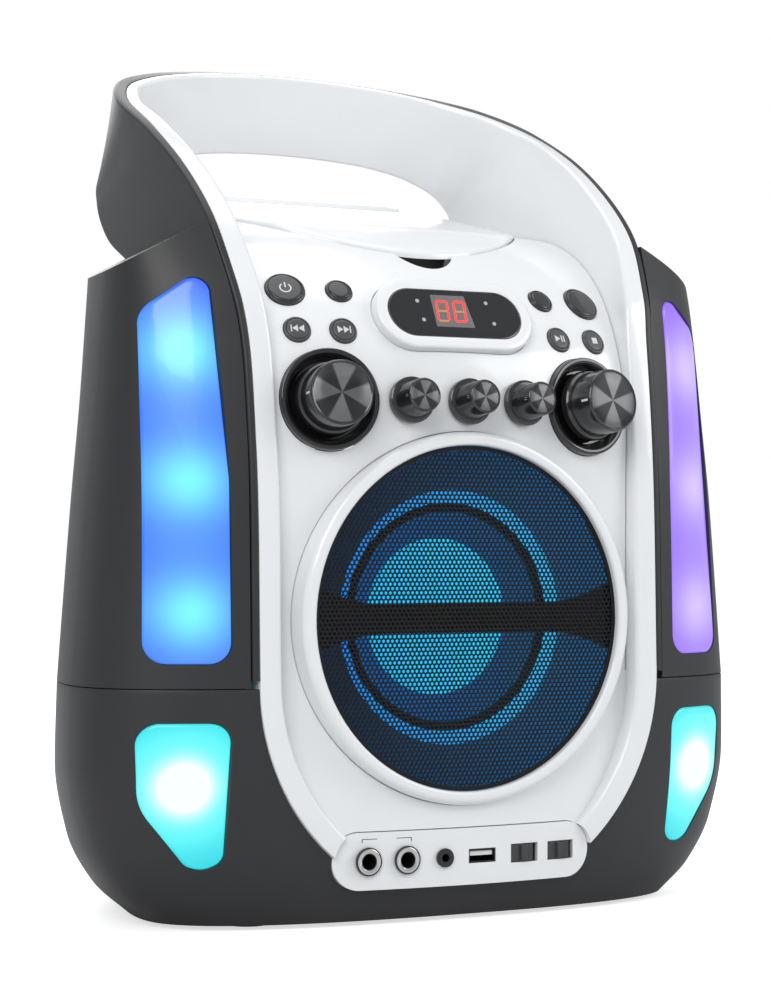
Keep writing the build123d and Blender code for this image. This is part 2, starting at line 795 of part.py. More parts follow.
# Display: a raised white pod, a dark window and the module with the numerals behind it
with BuildPart() as display_pod:
    with BuildSketch(display_plane(-pod_length)):
        SlotOverall(pod_width, pod_height)
    extrude(amount=pod_length + pod_proud)
    chamfer(display_pod.faces().sort_by(Axis((0, 0, 0), display_normal))[-1].edges(), 1.0)
    with BuildSketch(display_plane(pod_proud)):
        SlotOverall(window_width + 2 * part_gap, window_height + 2 * part_gap)
    extrude(amount=-pod_proud - pod_length, mode=Mode.SUBTRACT)
finish(display_pod, "display_pod")

with BuildPart() as display_window:
    with BuildSketch(display_plane(pod_proud - seat_gap - window_thickness)):
        SlotOverall(window_width, window_height)
    extrude(amount=window_thickness)
finish(display_window, "display_window")

module_back = -control_board_drop
with BuildPart() as display_module:
    with BuildSketch(display_plane(module_back)):
        Rectangle(46, 20)
    extrude(amount=pod_proud - 2 * seat_gap - window_thickness - module_back)
finish(display_module, "display_module")

# Buttons: caps with two keeper tabs behind the panel
tab_width = 3.0
tab_reach = 1.2
button_depths = {large_button_radius: large_button_depth, small_button_radius: small_button_depth}
for name, (x, height, radius) in buttons.items():
    with BuildPart() as button:
        back_plane = panel_plane(x, height, button_depths[radius])
        with BuildSketch(back_plane):
            Circle(radius)
        extrude(amount=button_depths[radius] + button_proud)
        outward = Axis((0, 0, 0), panel_plane(x, height).z_dir)
        chamfer(button.faces().sort_by(outward)[-1].edges(), 0.6)
        with BuildSketch(back_plane):
            Rectangle(2 * (radius + tab_reach), tab_width)
        extrude(amount=tab_reach)
    finish(button, name)

# Control board with its switches under the buttons
with BuildPart() as control_board:
    with BuildSketch(display_plane(-control_board_drop - board_thickness)):
        Rectangle(control_board_width, control_board_height)
    extrude(amount=board_thickness)
    for x, height, radius in buttons.values():
        back = panel_plane(x, height, button_depths[radius]).origin
        spot = display_plane(-control_board_drop).to_local_coords(back)
        with BuildSketch(display_plane(-control_board_drop - 0.5)):
            with Locations((spot.X, spot.Y)):
                Rectangle(4, 4)
        extrude(amount=spot.Z + 0.5 - button_travel - part_gap - pillar_clearance)
finish(control_board, "control_board")


# Jack plate: a bowed white stadium with the holes of the sockets and the slots of the switches
def plate_front(x):
    # Depth of the plate's front face at a distance from the middle
    return plate_depth + bow_radius - sqrt(bow_radius**2 - x * x)


def plate_strip(depth, thickness):
    # A slab bowed like the fascia, between two depths at its middle
    with BuildPart() as strip:
        with BuildSketch(Plane.YZ):
            with Locations((y_at(depth + thickness / 2), plate_centre)):
                Rectangle(thickness, 2 * plate_height)
        revolve(axis=Axis((0, y_at(plate_depth + bow_radius), 0), (0, 0, 1)), revolution_arc=20)
        mirror(about=Plane.YZ)
    return strip.part


def socket_plane(x, depth):
    return Plane(origin=(x, y_at(depth), plate_centre), x_dir=(1, 0, 0), z_dir=(0, -1, 0))


with BuildPart() as jack_plate:
    add(plate_strip(plate_depth, plate_thickness))
    with BuildSketch(socket_plane(0, 0)):
        SlotOverall(plate_width, plate_height)
    extrude(amount=-40, mode=Mode.INTERSECT)
    with BuildPart(mode=Mode.PRIVATE) as plate_hollow:
        add(plate_strip(plate_depth + plate_wall, 30))
        with BuildSketch(socket_plane(0, 0)):
            SlotOverall(plate_width - 2 * plate_wall, plate_height - 2 * plate_wall)
        extrude(amount=-60, mode=Mode.INTERSECT)
    add(plate_hollow.part, mode=Mode.SUBTRACT)
    with BuildSketch(socket_plane(0, 0)):
        for x in mic_jack_x:
            with Locations((x, 0)):
                Circle(mic_sleeve + part_gap)
        with Locations((aux_jack_x, 0)):
            Circle(aux_sleeve + part_gap)
        with Locations((usb_x, 0)):
            Rectangle(usb_width + 2 * part_gap, usb_height + 2 * part_gap)
        for x in switch_x:
            with Locations((x, 0)):
                Rectangle(switch_slot, switch_slot_height)
    extrude(amount=-40, mode=Mode.SUBTRACT)
finish(jack_plate, "jack_plate")


def socket(name, x, ring, sleeve, bore, body):
    # A panel socket: ferrule, sleeve through the plate, body against the board, and the plug's bore
    front = plate_front(abs(x) - ring) - seat_gap
    with BuildPart() as jack:
        with BuildSketch(socket_plane(x, front)):
            Circle(ring)
        extrude(amount=ferrule_proud)
        with BuildSketch(socket_plane(x, front)):
            Circle(sleeve)
        extrude(amount=-sleeve_length)
        with BuildSketch(socket_plane(x, front + sleeve_length)):
            Rectangle(body, body)
        extrude(amount=-(jack_board_depth - front - sleeve_length))
        with BuildSketch(socket_plane(x, front - ferrule_proud)):
            Circle(bore)
        extrude(amount=-plug_length, mode=Mode.SUBTRACT)
    finish(jack, name)


for name, x in zip(("mic_jack_left", "mic_jack_right"), mic_jack_x):
    socket(name, x, mic_ring_radius, mic_sleeve, mic_jack_bore, 13.0)
socket("aux_jack", aux_jack_x, aux_ring_radius, aux_sleeve, aux_jack_bore, 9.0)

usb_front = plate_front(usb_x) + 0.4
with BuildPart() as usb_port:
    with BuildSketch(socket_plane(usb_x, usb_front)):
        Rectangle(usb_width, usb_height)
    extrude(amount=-(jack_board_depth - usb_front))
    with BuildSketch(socket_plane(usb_x, usb_front)):
        Rectangle(usb_width - 2 * usb_wall, usb_height - 2 * usb_wall)
    extrude(amount=-usb_cavity, mode=Mode.SUBTRACT)
    with BuildSketch(socket_plane(usb_x, usb_front + 1)):
        with Locations((0, usb_height / 2 - usb_wall - usb_tongue / 2 - 0.6)):
            Rectangle(usb_width - 2 * usb_wall - 0.8, usb_tongue)
    extrude(amount=-usb_cavity + 1)
finish(usb_port, "usb_port")

# Slide switches: ridged caps that run in slots of the jack plate
cap_wall = 1.6
cap_rear = 1.0
cap_skirt = 3.0
for name, x in zip(("function_switch", "light_switch"), switch_x):
    start_x = x - switch_travel / 2
    face = plate_front(x) - 0.2
    rear = plate_front(x + switch_slot / 2) + plate_wall + 0.6
    with BuildPart() as switch:
        with BuildSketch(socket_plane(start_x, face)):
            Rectangle(switch_cap, switch_slot_height - 2 * part_gap)
        extrude(amount=-(rear - face))
        with BuildSketch(socket_plane(start_x + 0.6, face)):
            Rectangle(3.6, switch_slot_height - 1.4)
        extrude(amount=1.4, taper=12)
        with BuildSketch(socket_plane(start_x, rear)):
            Rectangle(switch_cap + 2 * cap_wall, switch_slot_height + cap_skirt)
        extrude(amount=-cap_rear)
    finish(switch, name)

with BuildPart() as jack_board:
    with BuildSketch(socket_plane(0, jack_board_depth)):
        Rectangle(2 * jack_post_x + jack_post, 18)
    extrude(amount=-board_thickness)
    for x in switch_x:
        body_front = plate_front(x + switch_slot / 2) + plate_wall + 0.6 + cap_rear + part_gap
        with BuildSketch(socket_plane(x, body_front)):
            Rectangle(18, 12)
        extrude(amount=-(jack_board_depth - body_front))
finish(jack_board, "jack_board")


# Disc deck: the well and its flange under the lid opening, with the rail brackets below
well_flange_wall = 2.0
rail_offset = sled_width / 2 + 2
bracket_x = (12.5, 61.5)
bracket_wall = 3.0
sled_drop = well_floor_drop + well_wall + 1.2
rail_drop = sled_drop + sled_height / 2
with BuildPart() as disc_well:
    with BuildSketch(well_plane(-well_floor_drop - well_wall)):
        Circle(well_radius + well_wall)
    extrude(amount=60)
    with BuildPart(mode=Mode.PRIVATE) as well_flange:
        add(panel_strip(-fascia_wall - part_gap, well_flange_wall, deck_rear - 3))
        extrude(lid_outline(lid_gap + 4), amount=120, mode=Mode.INTERSECT)
        with BuildSketch(Plane.XY.offset(250)):
            with Locations((0, y_at(notch_depth))):
                Circle(notch_radius + fascia_wall + part_gap)
        extrude(amount=120, mode=Mode.SUBTRACT)
    deck_side = 60
    deck_gap = fascia_wall + part_gap + well_flange_wall / 2
    add(panel_strip(deck_side, deck_side + deck_gap, deck_rear + 30), mode=Mode.SUBTRACT)
    add(well_flange.part)
    with BuildSketch(well_plane(-well_floor_drop)):
        Circle(well_radius)
    extrude(amount=80, mode=Mode.SUBTRACT)
    with BuildSketch(well_plane(-well_floor_drop - well_wall - 1)):
        Circle(turntable_radius + 1.5)
        with Locations(((sled_start + 48) / 2, 0)):
            Rectangle(56 - sled_start + 18, 15)
    extrude(amount=10, mode=Mode.SUBTRACT)
    for x in bracket_x:
        with BuildSketch(well_plane(-rail_drop - 3.5)):
            middle = x + bracket_wall / 2
            with Locations((middle, rail_offset), (middle, -rail_offset)):
                Rectangle(bracket_wall, 8)
        extrude(amount=rail_drop + 3.5 - well_floor_drop - well_wall)
    with BuildPart(mode=Mode.PRIVATE) as rail_holes:
        rail_base = well_plane(-rail_drop)
        for side in (-1, 1):
            start = rail_base.from_local_coords((bracket_x[0] - 1, side * rail_offset, 0))
            with BuildSketch(Plane(origin=start, x_dir=(0, 1, 0), z_dir=(1, 0, 0))):
                Circle(rail_radius + running_gap)
            extrude(amount=bracket_x[1] - bracket_x[0] + bracket_wall + 2)
    add(rail_holes.part, mode=Mode.SUBTRACT)
    add(barrel(hinge_barrel + lid_gap, -hinge_half_length - 8, hinge_half_length + 8), mode=Mode.SUBTRACT)
finish(disc_well, "disc_well")

with BuildPart() as sled_rails:
    for side in (-1, 1):
        start = well_plane(-rail_drop).from_local_coords((bracket_x[0], side * rail_offset, 0))
        with BuildSketch(Plane(origin=start, x_dir=(0, 1, 0), z_dir=(1, 0, 0))):
            Circle(rail_radius)
        extrude(amount=bracket_x[1] - bracket_x[0] + bracket_wall)
finish(sled_rails, "sled_rails")

with BuildPart() as laser_sled:
    with BuildSketch(well_plane(-sled_drop - sled_height)):
        with Locations((sled_start, 0)):
            Rectangle(sled_length, 2 * (rail_offset + rail_radius + 2))
    extrude(amount=sled_height)
    with BuildSketch(well_plane(-sled_drop)):
        with Locations((sled_start, 0)):
            Circle(4.2)
    extrude(amount=sled_drop - well_floor_drop + 1.6)
    for side in (-1, 1):
        local = (sled_start - sled_length, side * rail_offset, 0)
        start = well_plane(-rail_drop).from_local_coords(local)
        with BuildSketch(Plane(origin=start, x_dir=(0, 1, 0), z_dir=(1, 0, 0))):
            Circle(rail_radius + running_gap)
        extrude(amount=2 * sled_length, mode=Mode.SUBTRACT)
finish(laser_sled, "laser_sled")

with BuildPart() as spindle_motor:
    with BuildSketch(well_plane(-well_floor_drop - well_wall - motor_length)):
        Circle(motor_radius)
    extrude(amount=motor_length)
    with BuildSketch(well_plane(-well_floor_drop - well_wall)):
        with Locations((-motor_plate_aside, 0)):
            Rectangle(motor_plate_width, motor_plate_height)
    extrude(amount=-1)
    with BuildSketch(well_plane(-well_floor_drop - well_wall)):
        Circle(motor_shaft)
    extrude(amount=well_floor_drop + well_wall - 1)
finish(spindle_motor, "spindle_motor")

with BuildPart() as turntable:
    with BuildSketch(well_plane(-turntable_drop - turntable_wall)):
        Circle(turntable_radius)
    extrude(amount=turntable_wall)
    with BuildSketch(well_plane(-turntable_drop)):
        Circle(disc_bore_radius - 0.1)
    extrude(amount=turntable_drop + hub_rise)
    chamfer(turntable.faces().sort_by(Axis((0, 0, 0), well_plane().z_dir))[-1].edges(), 1.2)
    with BuildSketch(well_plane(-turntable_drop - turntable_wall)):
        Circle(motor_shaft + running_gap)
    extrude(amount=turntable_wall + 1, mode=Mode.SUBTRACT)
finish(turntable, "turntable")

# Lid: a shell with a rounded front and a flatter rear, and the hinge barrel along its rear edge
with BuildPart() as lid_block:
    add(panel_strip(lid_proud, lid_proud + lid_embed, hinge_depth))
    with BuildSketch(Plane.YZ):
        with BuildLine():
            drop = lid_run * tan(radians(lid_slope))
            rear_y, front_end = y_at(hinge_depth), y_at(hinge_depth - lid_run)
            corners = [
                (rear_y, lid_crest),
                (front_end, lid_crest - drop),
                (front_end, lid_crest - drop - lid_front_thickness),
                (rear_y, lid_crest - lid_rear_thickness),
            ]
            Polyline(*corners, close=True)
        make_face()
    revolve(axis=Axis((0, y_at(fascia_depth + bow_radius), 0), (0, 0, 1)), revolution_arc=30)
    mirror(about=Plane.YZ)
with BuildPart() as disc_lid:
    add(lid_block.part)
    extrude(lid_outline(), amount=120, mode=Mode.INTERSECT)
    with BuildPart(mode=Mode.PRIVATE) as lid_hollow:
        add(lid_block.part.moved(Location((0, 0, -lid_wall))))
        extrude(lid_outline(-lid_wall), amount=120, mode=Mode.INTERSECT)
    add(lid_hollow.part, mode=Mode.SUBTRACT)
    add(barrel(hinge_barrel, -hinge_half_length, hinge_half_length))
    ear_reach = hinge_half_length + hinge_ear + 2 * part_gap
    for side in (-1, 1):
        middle = side * (hinge_half_length + ear_reach) / 2
        with BuildSketch(Plane.XY.offset(300)):
            with Locations((middle, y_at(hinge_depth))):
                Rectangle(ear_reach - hinge_half_length, 2 * hinge_barrel + 2)
        extrude(amount=60, mode=Mode.SUBTRACT)
    for side in (-1, 1):
        ends = sorted((side * (hinge_half_length - hinge_pin_length), side * (hinge_half_length + 1)))
        add(barrel(hinge_pin_radius + running_gap, *ends), mode=Mode.SUBTRACT)
finish(disc_lid, "disc_lid")

with BuildPart() as lid_hinge_pins:
    for side in (-1, 1):
        inner_end = hinge_half_length - hinge_pin_length + part_gap
        ends = sorted((side * inner_end, side * (hinge_half_length + part_gap + hinge_ear)))
        add(barrel(hinge_pin_radius, *ends))
finish(lid_hinge_pins, "lid_hinge_pins")

# Rear cover: the black back with its neck under the handle, the vents and the inlet
neck_half_width = 84.0
neck_top = 329.0
neck_rear = 199.0
inlet_spot = (-45, 38)
inlet_width = 21.0
inlet_height = 13.0
inlet_length = 18.0
inlet_bore_width = 15.4
inlet_bore_height = 8.6
inlet_bore_length = 12.0
inlet_pin_pitch = 8.6
inlet_pin_radius = 1.2
inlet_pin_sink = 2.0
vent_height = 220.0
vent_width = 40.0
vent_pitch = 8.0
vent_rows = 9
with BuildPart() as rear_cover:
    add(base_outer)
    with BuildPart(mode=Mode.PRIVATE) as cover_upper:
        add(upper_outer)
        split(bisect_by=Plane.XY.offset(cover_top), keep=Keep.BOTTOM)
    add(cover_upper.part)
    add(base_hollow, mode=Mode.SUBTRACT)
    with BuildPart(mode=Mode.PRIVATE) as cover_hollow:
        add(upper_hollow)
        split(bisect_by=Plane.XY.offset(cover_top - housing_wall), keep=Keep.BOTTOM)
    add(cover_hollow.part, mode=Mode.SUBTRACT)
    split(bisect_by=Plane(origin=(0, y_at(cover_seam + part_gap), 0), z_dir=(0, 1, 0)), keep=Keep.TOP)
    neck_front = cover_seam + part_gap
    with BuildSketch(Plane.XY.offset(cover_top - housing_wall)):
        with Locations((0, y_at((neck_front + neck_rear) / 2))):
            Rectangle(2 * neck_half_width, neck_rear - neck_front)
    extrude(amount=neck_top - cover_top + housing_wall)
    with BuildSketch(Plane.XY.offset(cover_top - 2 * housing_wall)):
        with Locations((0, y_at((neck_front + neck_rear) / 2 - housing_wall))):
            Rectangle(2 * (neck_half_width - housing_wall), neck_rear - neck_front)
    extrude(amount=60, mode=Mode.SUBTRACT)
    with BuildPart(mode=Mode.PRIVATE) as deck_space:
        add(panel_strip(deck_side, deck_side + fascia_wall + part_gap, deck_rear + 30))
        split(bisect_by=Plane(origin=(0, y_at(deck_rear + part_gap), 0), z_dir=(0, -1, 0)), keep=Keep.TOP)
    add(deck_space.part, mode=Mode.SUBTRACT)
    with BuildSketch(front_plane(260)):
        with Locations((0, vent_height)):
            with GridLocations(vent_width + 12, vent_pitch, 2, vent_rows):
                Rectangle(vent_width, 3)
        with Locations(inlet_spot):
            Rectangle(inlet_width + 2 * part_gap, inlet_height + 2 * part_gap)
    extrude(amount=70, mode=Mode.SUBTRACT)
    add(arch_clearance, mode=Mode.SUBTRACT)
finish(rear_cover, "rear_cover")

cover_back = widest_depth + base_levels[-1][3]
with BuildPart() as power_inlet:
    with BuildSketch(front_plane(cover_back)):
        with Locations(inlet_spot):
            Rectangle(inlet_width, inlet_height)
    extrude(amount=inlet_length)
    with BuildSketch(front_plane(cover_back)):
        with Locations(inlet_spot):
            Rectangle(inlet_bore_width, inlet_bore_height)
    extrude(amount=inlet_bore_length, mode=Mode.SUBTRACT)
    with BuildSketch(front_plane(cover_back - inlet_pin_sink)):
        with Locations(inlet_spot):
            with GridLocations(inlet_pin_pitch, 1, 2, 1):
                Circle(inlet_pin_radius)
    extrude(amount=inlet_bore_length - inlet_pin_sink + 0.5)
finish(power_inlet, "power_inlet")

# Main board on the base's posts, mains transformer on the floor, and the feet
board_margin = 8.0
capacitor_spots = [(30, 100), (30, 126)]
capacitor_radius = 8.0
capacitor_height = 22.0
board_blocks = [(74, 134, 40, 10, 26), (66, 106, 22, 22, 2.4)]
transformer_core = (52.0, 26.0, 44.0)
transformer_coil = (36.0, 46.0, 26.0)
coil_lift = 9.0
xs = [x for x, depth in main_board_spots]
depths = [depth for x, depth in main_board_spots]
with BuildPart() as main_board:
    with BuildSketch(Plane.XY.offset(main_board_height)):
        with Locations(((min(xs) + max(xs)) / 2, y_at((min(depths) + max(depths)) / 2))):
            Rectangle(max(xs) - min(xs) + 2 * board_margin, max(depths) - min(depths) + 2 * board_margin)
    extrude(amount=board_thickness)
    for x, depth in capacitor_spots:
        with BuildSketch(Plane.XY.offset(main_board_height + board_thickness)):
            with Locations((x, y_at(depth))):
                Circle(capacitor_radius)
        extrude(amount=capacitor_height)
    for x, depth, width, length, height in board_blocks:
        with BuildSketch(Plane.XY.offset(main_board_height + board_thickness)):
            with Locations((x, y_at(depth))):
                Rectangle(width, length)
        extrude(amount=height)
finish(main_board, "main_board")

with BuildPart() as transformer:
    for lift, (width, length, height) in ((0, transformer_core), (coil_lift, transformer_coil)):
        with BuildSketch(Plane.XY.offset(floor_top + lift)):
            with Locations((transformer_spot[0], y_at(transformer_spot[1]))):
                Rectangle(width, length)
        extrude(amount=height)
finish(transformer, "transformer")

with BuildPart() as feet:
    for x, depth in foot_spots:
        with BuildSketch(Plane.XY):
            with Locations((x, y_at(depth))):
                Circle(foot_radius)
        extrude(amount=base_levels[0][0])
finish(feet, "feet")
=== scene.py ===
from math import asin, cos, hypot, pi, radians, sin, sqrt, tan

import bmesh
import bpy
import numpy as np
from mathutils import Matrix, Vector


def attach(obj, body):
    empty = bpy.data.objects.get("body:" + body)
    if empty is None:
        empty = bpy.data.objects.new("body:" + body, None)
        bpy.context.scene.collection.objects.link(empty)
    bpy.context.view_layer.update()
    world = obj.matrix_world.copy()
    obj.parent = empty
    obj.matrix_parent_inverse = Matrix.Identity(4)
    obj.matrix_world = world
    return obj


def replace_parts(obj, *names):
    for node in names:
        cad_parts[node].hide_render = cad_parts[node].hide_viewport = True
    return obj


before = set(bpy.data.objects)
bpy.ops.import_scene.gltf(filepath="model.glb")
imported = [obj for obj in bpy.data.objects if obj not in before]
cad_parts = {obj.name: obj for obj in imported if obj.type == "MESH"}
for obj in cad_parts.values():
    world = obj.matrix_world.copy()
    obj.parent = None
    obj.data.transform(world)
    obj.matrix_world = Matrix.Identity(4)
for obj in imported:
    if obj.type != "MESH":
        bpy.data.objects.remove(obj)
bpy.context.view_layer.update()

# Studio: a pale floor that runs out of sight, soft lamps on both sides and above, and a camera with a
# long lens at the left of the machine, a little below the middle of its height.
studio = bpy.data.worlds.new("studio")
bpy.context.scene.world = studio
studio.use_nodes = True
sky_nodes, sky_links = studio.node_tree.nodes, studio.node_tree.links
sky_nodes.clear()
rays = sky_nodes.new("ShaderNodeLightPath")
seen = sky_nodes.new("ShaderNodeMath")
seen.operation = "MAXIMUM"
sky_links.new(rays.outputs["Is Camera Ray"], seen.inputs[0])
sky_links.new(rays.outputs["Is Transmission Ray"], seen.inputs[1])
room_light = sky_nodes.new("ShaderNodeBackground")
room_light.inputs["Color"].default_value = (0.94, 0.97, 1.0, 1)
room_light.inputs["Strength"].default_value = 0.56
white_wall = sky_nodes.new("ShaderNodeBackground")
white_wall.inputs["Color"].default_value = (1, 1, 1, 1)
white_wall.inputs["Strength"].default_value = 1.0
sky_mix = sky_nodes.new("ShaderNodeMixShader")
sky_links.new(seen.outputs[0], sky_mix.inputs[0])
sky_links.new(room_light.outputs[0], sky_mix.inputs[1])
sky_links.new(white_wall.outputs[0], sky_mix.inputs[2])
sky_out = sky_nodes.new("ShaderNodeOutputWorld")
sky_links.new(sky_mix.outputs[0], sky_out.inputs[0])

floor_mesh = bpy.data.meshes.new("floor")
floor_mesh.from_pydata([(-9, -9, 0), (9, -9, 0), (9, 9, 0), (-9, 9, 0)], [], [(0, 1, 2, 3)])
floor = bpy.data.objects.new("floor", floor_mesh)
bpy.context.collection.objects.link(floor)
floor_paint = bpy.data.materials.new("floor_paint")
floor_paint.use_nodes = True
floor_nodes, floor_links = floor_paint.node_tree.nodes, floor_paint.node_tree.links
floor_shader = floor_nodes["Principled BSDF"]
floor_shader.inputs["Base Color"].default_value = (0.72, 0.72, 0.73, 1)
floor_shader.inputs["Roughness"].default_value = 0.55
floor_shader.inputs["Specular IOR Level"].default_value = 0.2
floor_rays = floor_nodes.new("ShaderNodeLightPath")
floor_lift = floor_nodes.new("ShaderNodeMath")
floor_lift.operation = "MULTIPLY"
floor_lift.inputs[1].default_value = 0.66
floor_links.new(floor_rays.outputs["Is Camera Ray"], floor_lift.inputs[0])
floor_shader.inputs["Emission Color"].default_value = (1, 1, 1, 1)
floor_links.new(floor_lift.outputs[0], floor_shader.inputs["Emission Strength"])
floor_mesh.materials.append(floor_paint)

for name, place, aim, size, power in (
    ("lamp_left", (-1.5, -1.6, 1.5), (0, 0, 0.2), 1.3, 24),
    ("lamp_right", (1.7, -1.3, 1.1), (0, 0, 0.2), 1.1, 13),
    ("lamp_top", (0.0, 0.1, 2.2), (0, 0, 0.2), 1.6, 12),
    ("lamp_back", (0.4, 1.8, 1.3), (0, 0, 0.25), 1.4, 16),
):
    lamp = bpy.data.lights.new(name, "AREA")
    lamp.size, lamp.energy = size, power
    lamp_stand = bpy.data.objects.new(name, lamp)
    bpy.context.collection.objects.link(lamp_stand)
    lamp_stand.location = place
    lamp_stand.rotation_euler = (Vector(aim) - Vector(place)).to_track_quat("-Z", "Y").to_euler()

view_yaw, view_pitch, view_roll = radians(27.87), radians(0.69), radians(0.15)
view_ahead = Vector((sin(view_yaw) * cos(view_pitch), cos(view_yaw) * cos(view_pitch), sin(view_pitch)))
view_right = Vector((cos(view_yaw), -sin(view_yaw), 0))
view_up = view_right.cross(view_ahead)
turned_right = view_right * cos(view_roll) + view_up * sin(view_roll)
turned_up = view_up * cos(view_roll) - view_right * sin(view_roll)
lens = bpy.data.cameras.new("camera")
lens.lens, lens.sensor_width, lens.sensor_fit = 95.51, 36, "AUTO"
lens.clip_start, lens.clip_end = 0.05, 40
camera = bpy.data.objects.new("camera", lens)
bpy.context.collection.objects.link(camera)
view_frame = Matrix((turned_right, turned_up, -view_ahead)).transposed().to_4x4()
camera.matrix_world = Matrix.Translation((-0.5709, -1.09931, 0.1688)) @ view_frame
bpy.context.scene.camera = camera
bpy.context.scene.view_settings.view_transform = "Standard"

# Base shell: the lower black housing, injection moulded in one piece with a fine satin grain. The front
# half is open for the white fascia, the jack plate and the two lower lenses.
front_line = -101.16
widest_depth = 61.0
housing_wall = 3.0
seam_gap = 0.3
base_levels = [
    (2.0, 129.0, 48.8, 132.0),
    (15.0, 144.2, 51.8, 138.5),
    (36.0, 156.2, 55.7, 141.5),
    (68.0, 162.2, 60.0, 142.0),
    (103.0, 161.3, 62.5, 142.0),
]
base_lens_corners = [(110.0, 88.6), (146.8, 88.6), (145.2, 54.0), (122.0, 24.5), (110.6, 30.5)]
base_lens_rounds = (8.0, 9.0, 24.0, 10.0, 6.0)
rim_centre, rim_outer, rim_width, rim_depth = 106.0, 98.9, 10.5, 5.4
fascia_low = 30.0
plate_width, plate_height, plate_centre = 127.5, 24.6, 28.3
cover_seam = 150.0


def new_piece(name, points, faces, body="case"):
    # A mesh from points in millimetres: across, behind the front line, above the floor
    places = np.array(points, float).reshape(-1, 3)
    places = (places + (0, front_line, 0)) / 1000
    shape = bpy.data.meshes.new(name)
    shape.from_pydata([tuple(place) for place in places], [], faces)
    shape.update()
    piece = bpy.data.objects.new(name, shape)
    bpy.context.collection.objects.link(piece)
    if body:
        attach(piece, body)
    return piece


def faced_out(piece):
    # The piece with every face turned outwards
    work = bmesh.new()
    work.from_mesh(piece.data)
    bmesh.ops.recalc_face_normals(work, faces=work.faces)
    work.to_mesh(piece.data)
    work.free()
    return piece


def lofted(name, rings, body="case", around=True, capped=True):
    # A skin through rings of equal count, closed at its two ends
    rings = np.array(rings, float)
    rows, count = rings.shape[:2]
    faces = []
    for row in range(rows - 1):
        for step in range(count if around else count - 1):
            after = (step + 1) % count
            low, high = row * count, (row + 1) * count
            faces.append((low + step, low + after, high + after, high + step))
    if capped:
        faces.append(tuple(range(count))[::-1])
        faces.append(tuple(range((rows - 1) * count, rows * count)))
    return faced_out(new_piece(name, rings, faces, body))


def carved(piece, cutter, action="DIFFERENCE"):
    # The piece after a cutting form is taken out of it, or all that lies outside of the form
    step = piece.modifiers.new("carving", "BOOLEAN")
    step.object, step.operation, step.solver = cutter, action, "EXACT"
    bpy.context.view_layer.update()
    graph = bpy.context.evaluated_depsgraph_get()
    result = bpy.data.meshes.new_from_object(piece.evaluated_get(graph))
    piece.modifiers.clear()
    result.name = piece.name
    piece.data = result
    bpy.data.objects.remove(cutter)
    return piece


def smoothed(piece, crease=35):
    shape = piece.data
    shape.polygons.foreach_set("use_smooth", [True] * len(shape.polygons))
    shape.set_sharp_from_angle(angle=radians(crease))
    return piece


def rounded(corners, radii, closed=True, steps=8):
    # A flat outline with its corners rounded
    corners = [Vector(corner) for corner in corners]
    path = []
    for index, corner in enumerate(corners):
        radius = radii[index]
        if not radius or (not closed and index in (0, len(corners) - 1)):
            path.append(tuple(corner))
            continue
        before = (corners[index - 1] - corner).normalized()
        after = (corners[(index + 1) % len(corners)] - corner).normalized()
        half = before.angle(after) / 2
        middle = corner + (before + after).normalized() * radius / sin(half)
        first = corner + before * radius / tan(half) - middle
        last = corner + after * radius / tan(half) - middle
        sweep = first.angle(last)
        for step in range(steps + 1):
            share = step / steps
            arm = first * sin((1 - share) * sweep) + last * sin(share * sweep)
            path.append(tuple(middle + arm / sin(sweep)))
    return path


def grown(outline, amount):
    # An outline moved outwards, whichever way it runs
    points = np.array(outline, float)
    tangent = np.roll(points, -1, 0) - np.roll(points, 1, 0)
    tangent /= np.linalg.norm(tangent, axis=1)[:, None]
    area = np.sum(points[:, 0] * np.roll(points[:, 1], -1) - points[:, 1] * np.roll(points[:, 0], -1))
    outward = np.stack([tangent[:, 1], -tangent[:, 0]], 1) * (1 if area > 0 else -1)
    return points + outward * amount


def front_cutter(outline, start, end):
    # A front view outline pulled from one depth to another
    rings = [[(x, depth, height) for x, height in outline] for depth in (start, end)]
    return lofted("cutter", rings, body=None)


def slab_cutter(low, high):
    corners = [(low[0], low[1]), (high[0], low[1]), (high[0], high[1]), (low[0], high[1])]
    return lofted("cutter", [[(x, depth, z) for x, depth in corners] for z in (low[2], high[2])], body=None)


def stadium(width, height, centre=(0, 0), steps=24):
    radius = height / 2
    reach = width / 2 - radius
    turns = [pi * step / steps - pi / 2 for step in range(steps + 1)]
    right = [(centre[0] + reach + radius * cos(t), centre[1] + radius * sin(t)) for t in turns]
    left = [(centre[0] - reach - radius * cos(t), centre[1] - radius * sin(t)) for t in turns]
    return right + left


def circle_outline(radius, centre=(0, 0), count=96):
    turns = [2 * pi * step / count for step in range(count)]
    return [(centre[0] + radius * cos(t), centre[1] + radius * sin(t)) for t in turns]


def on_curve(knots, values, lean, spot):
    # A point of the curve that passes through values at knots with the slopes of lean
    row = min(int(np.searchsorted(knots, spot, side="right")) - 1, len(knots) - 2)
    gap = knots[row + 1] - knots[row]
    share = (spot - knots[row]) / gap
    return (
        values[row] * (1 + 2 * share) * (1 - share) ** 2
        + lean[row] * gap * share * (1 - share) ** 2
        + values[row + 1] * share**2 * (3 - 2 * share)
        + lean[row + 1] * gap * share**2 * (share - 1)
    )


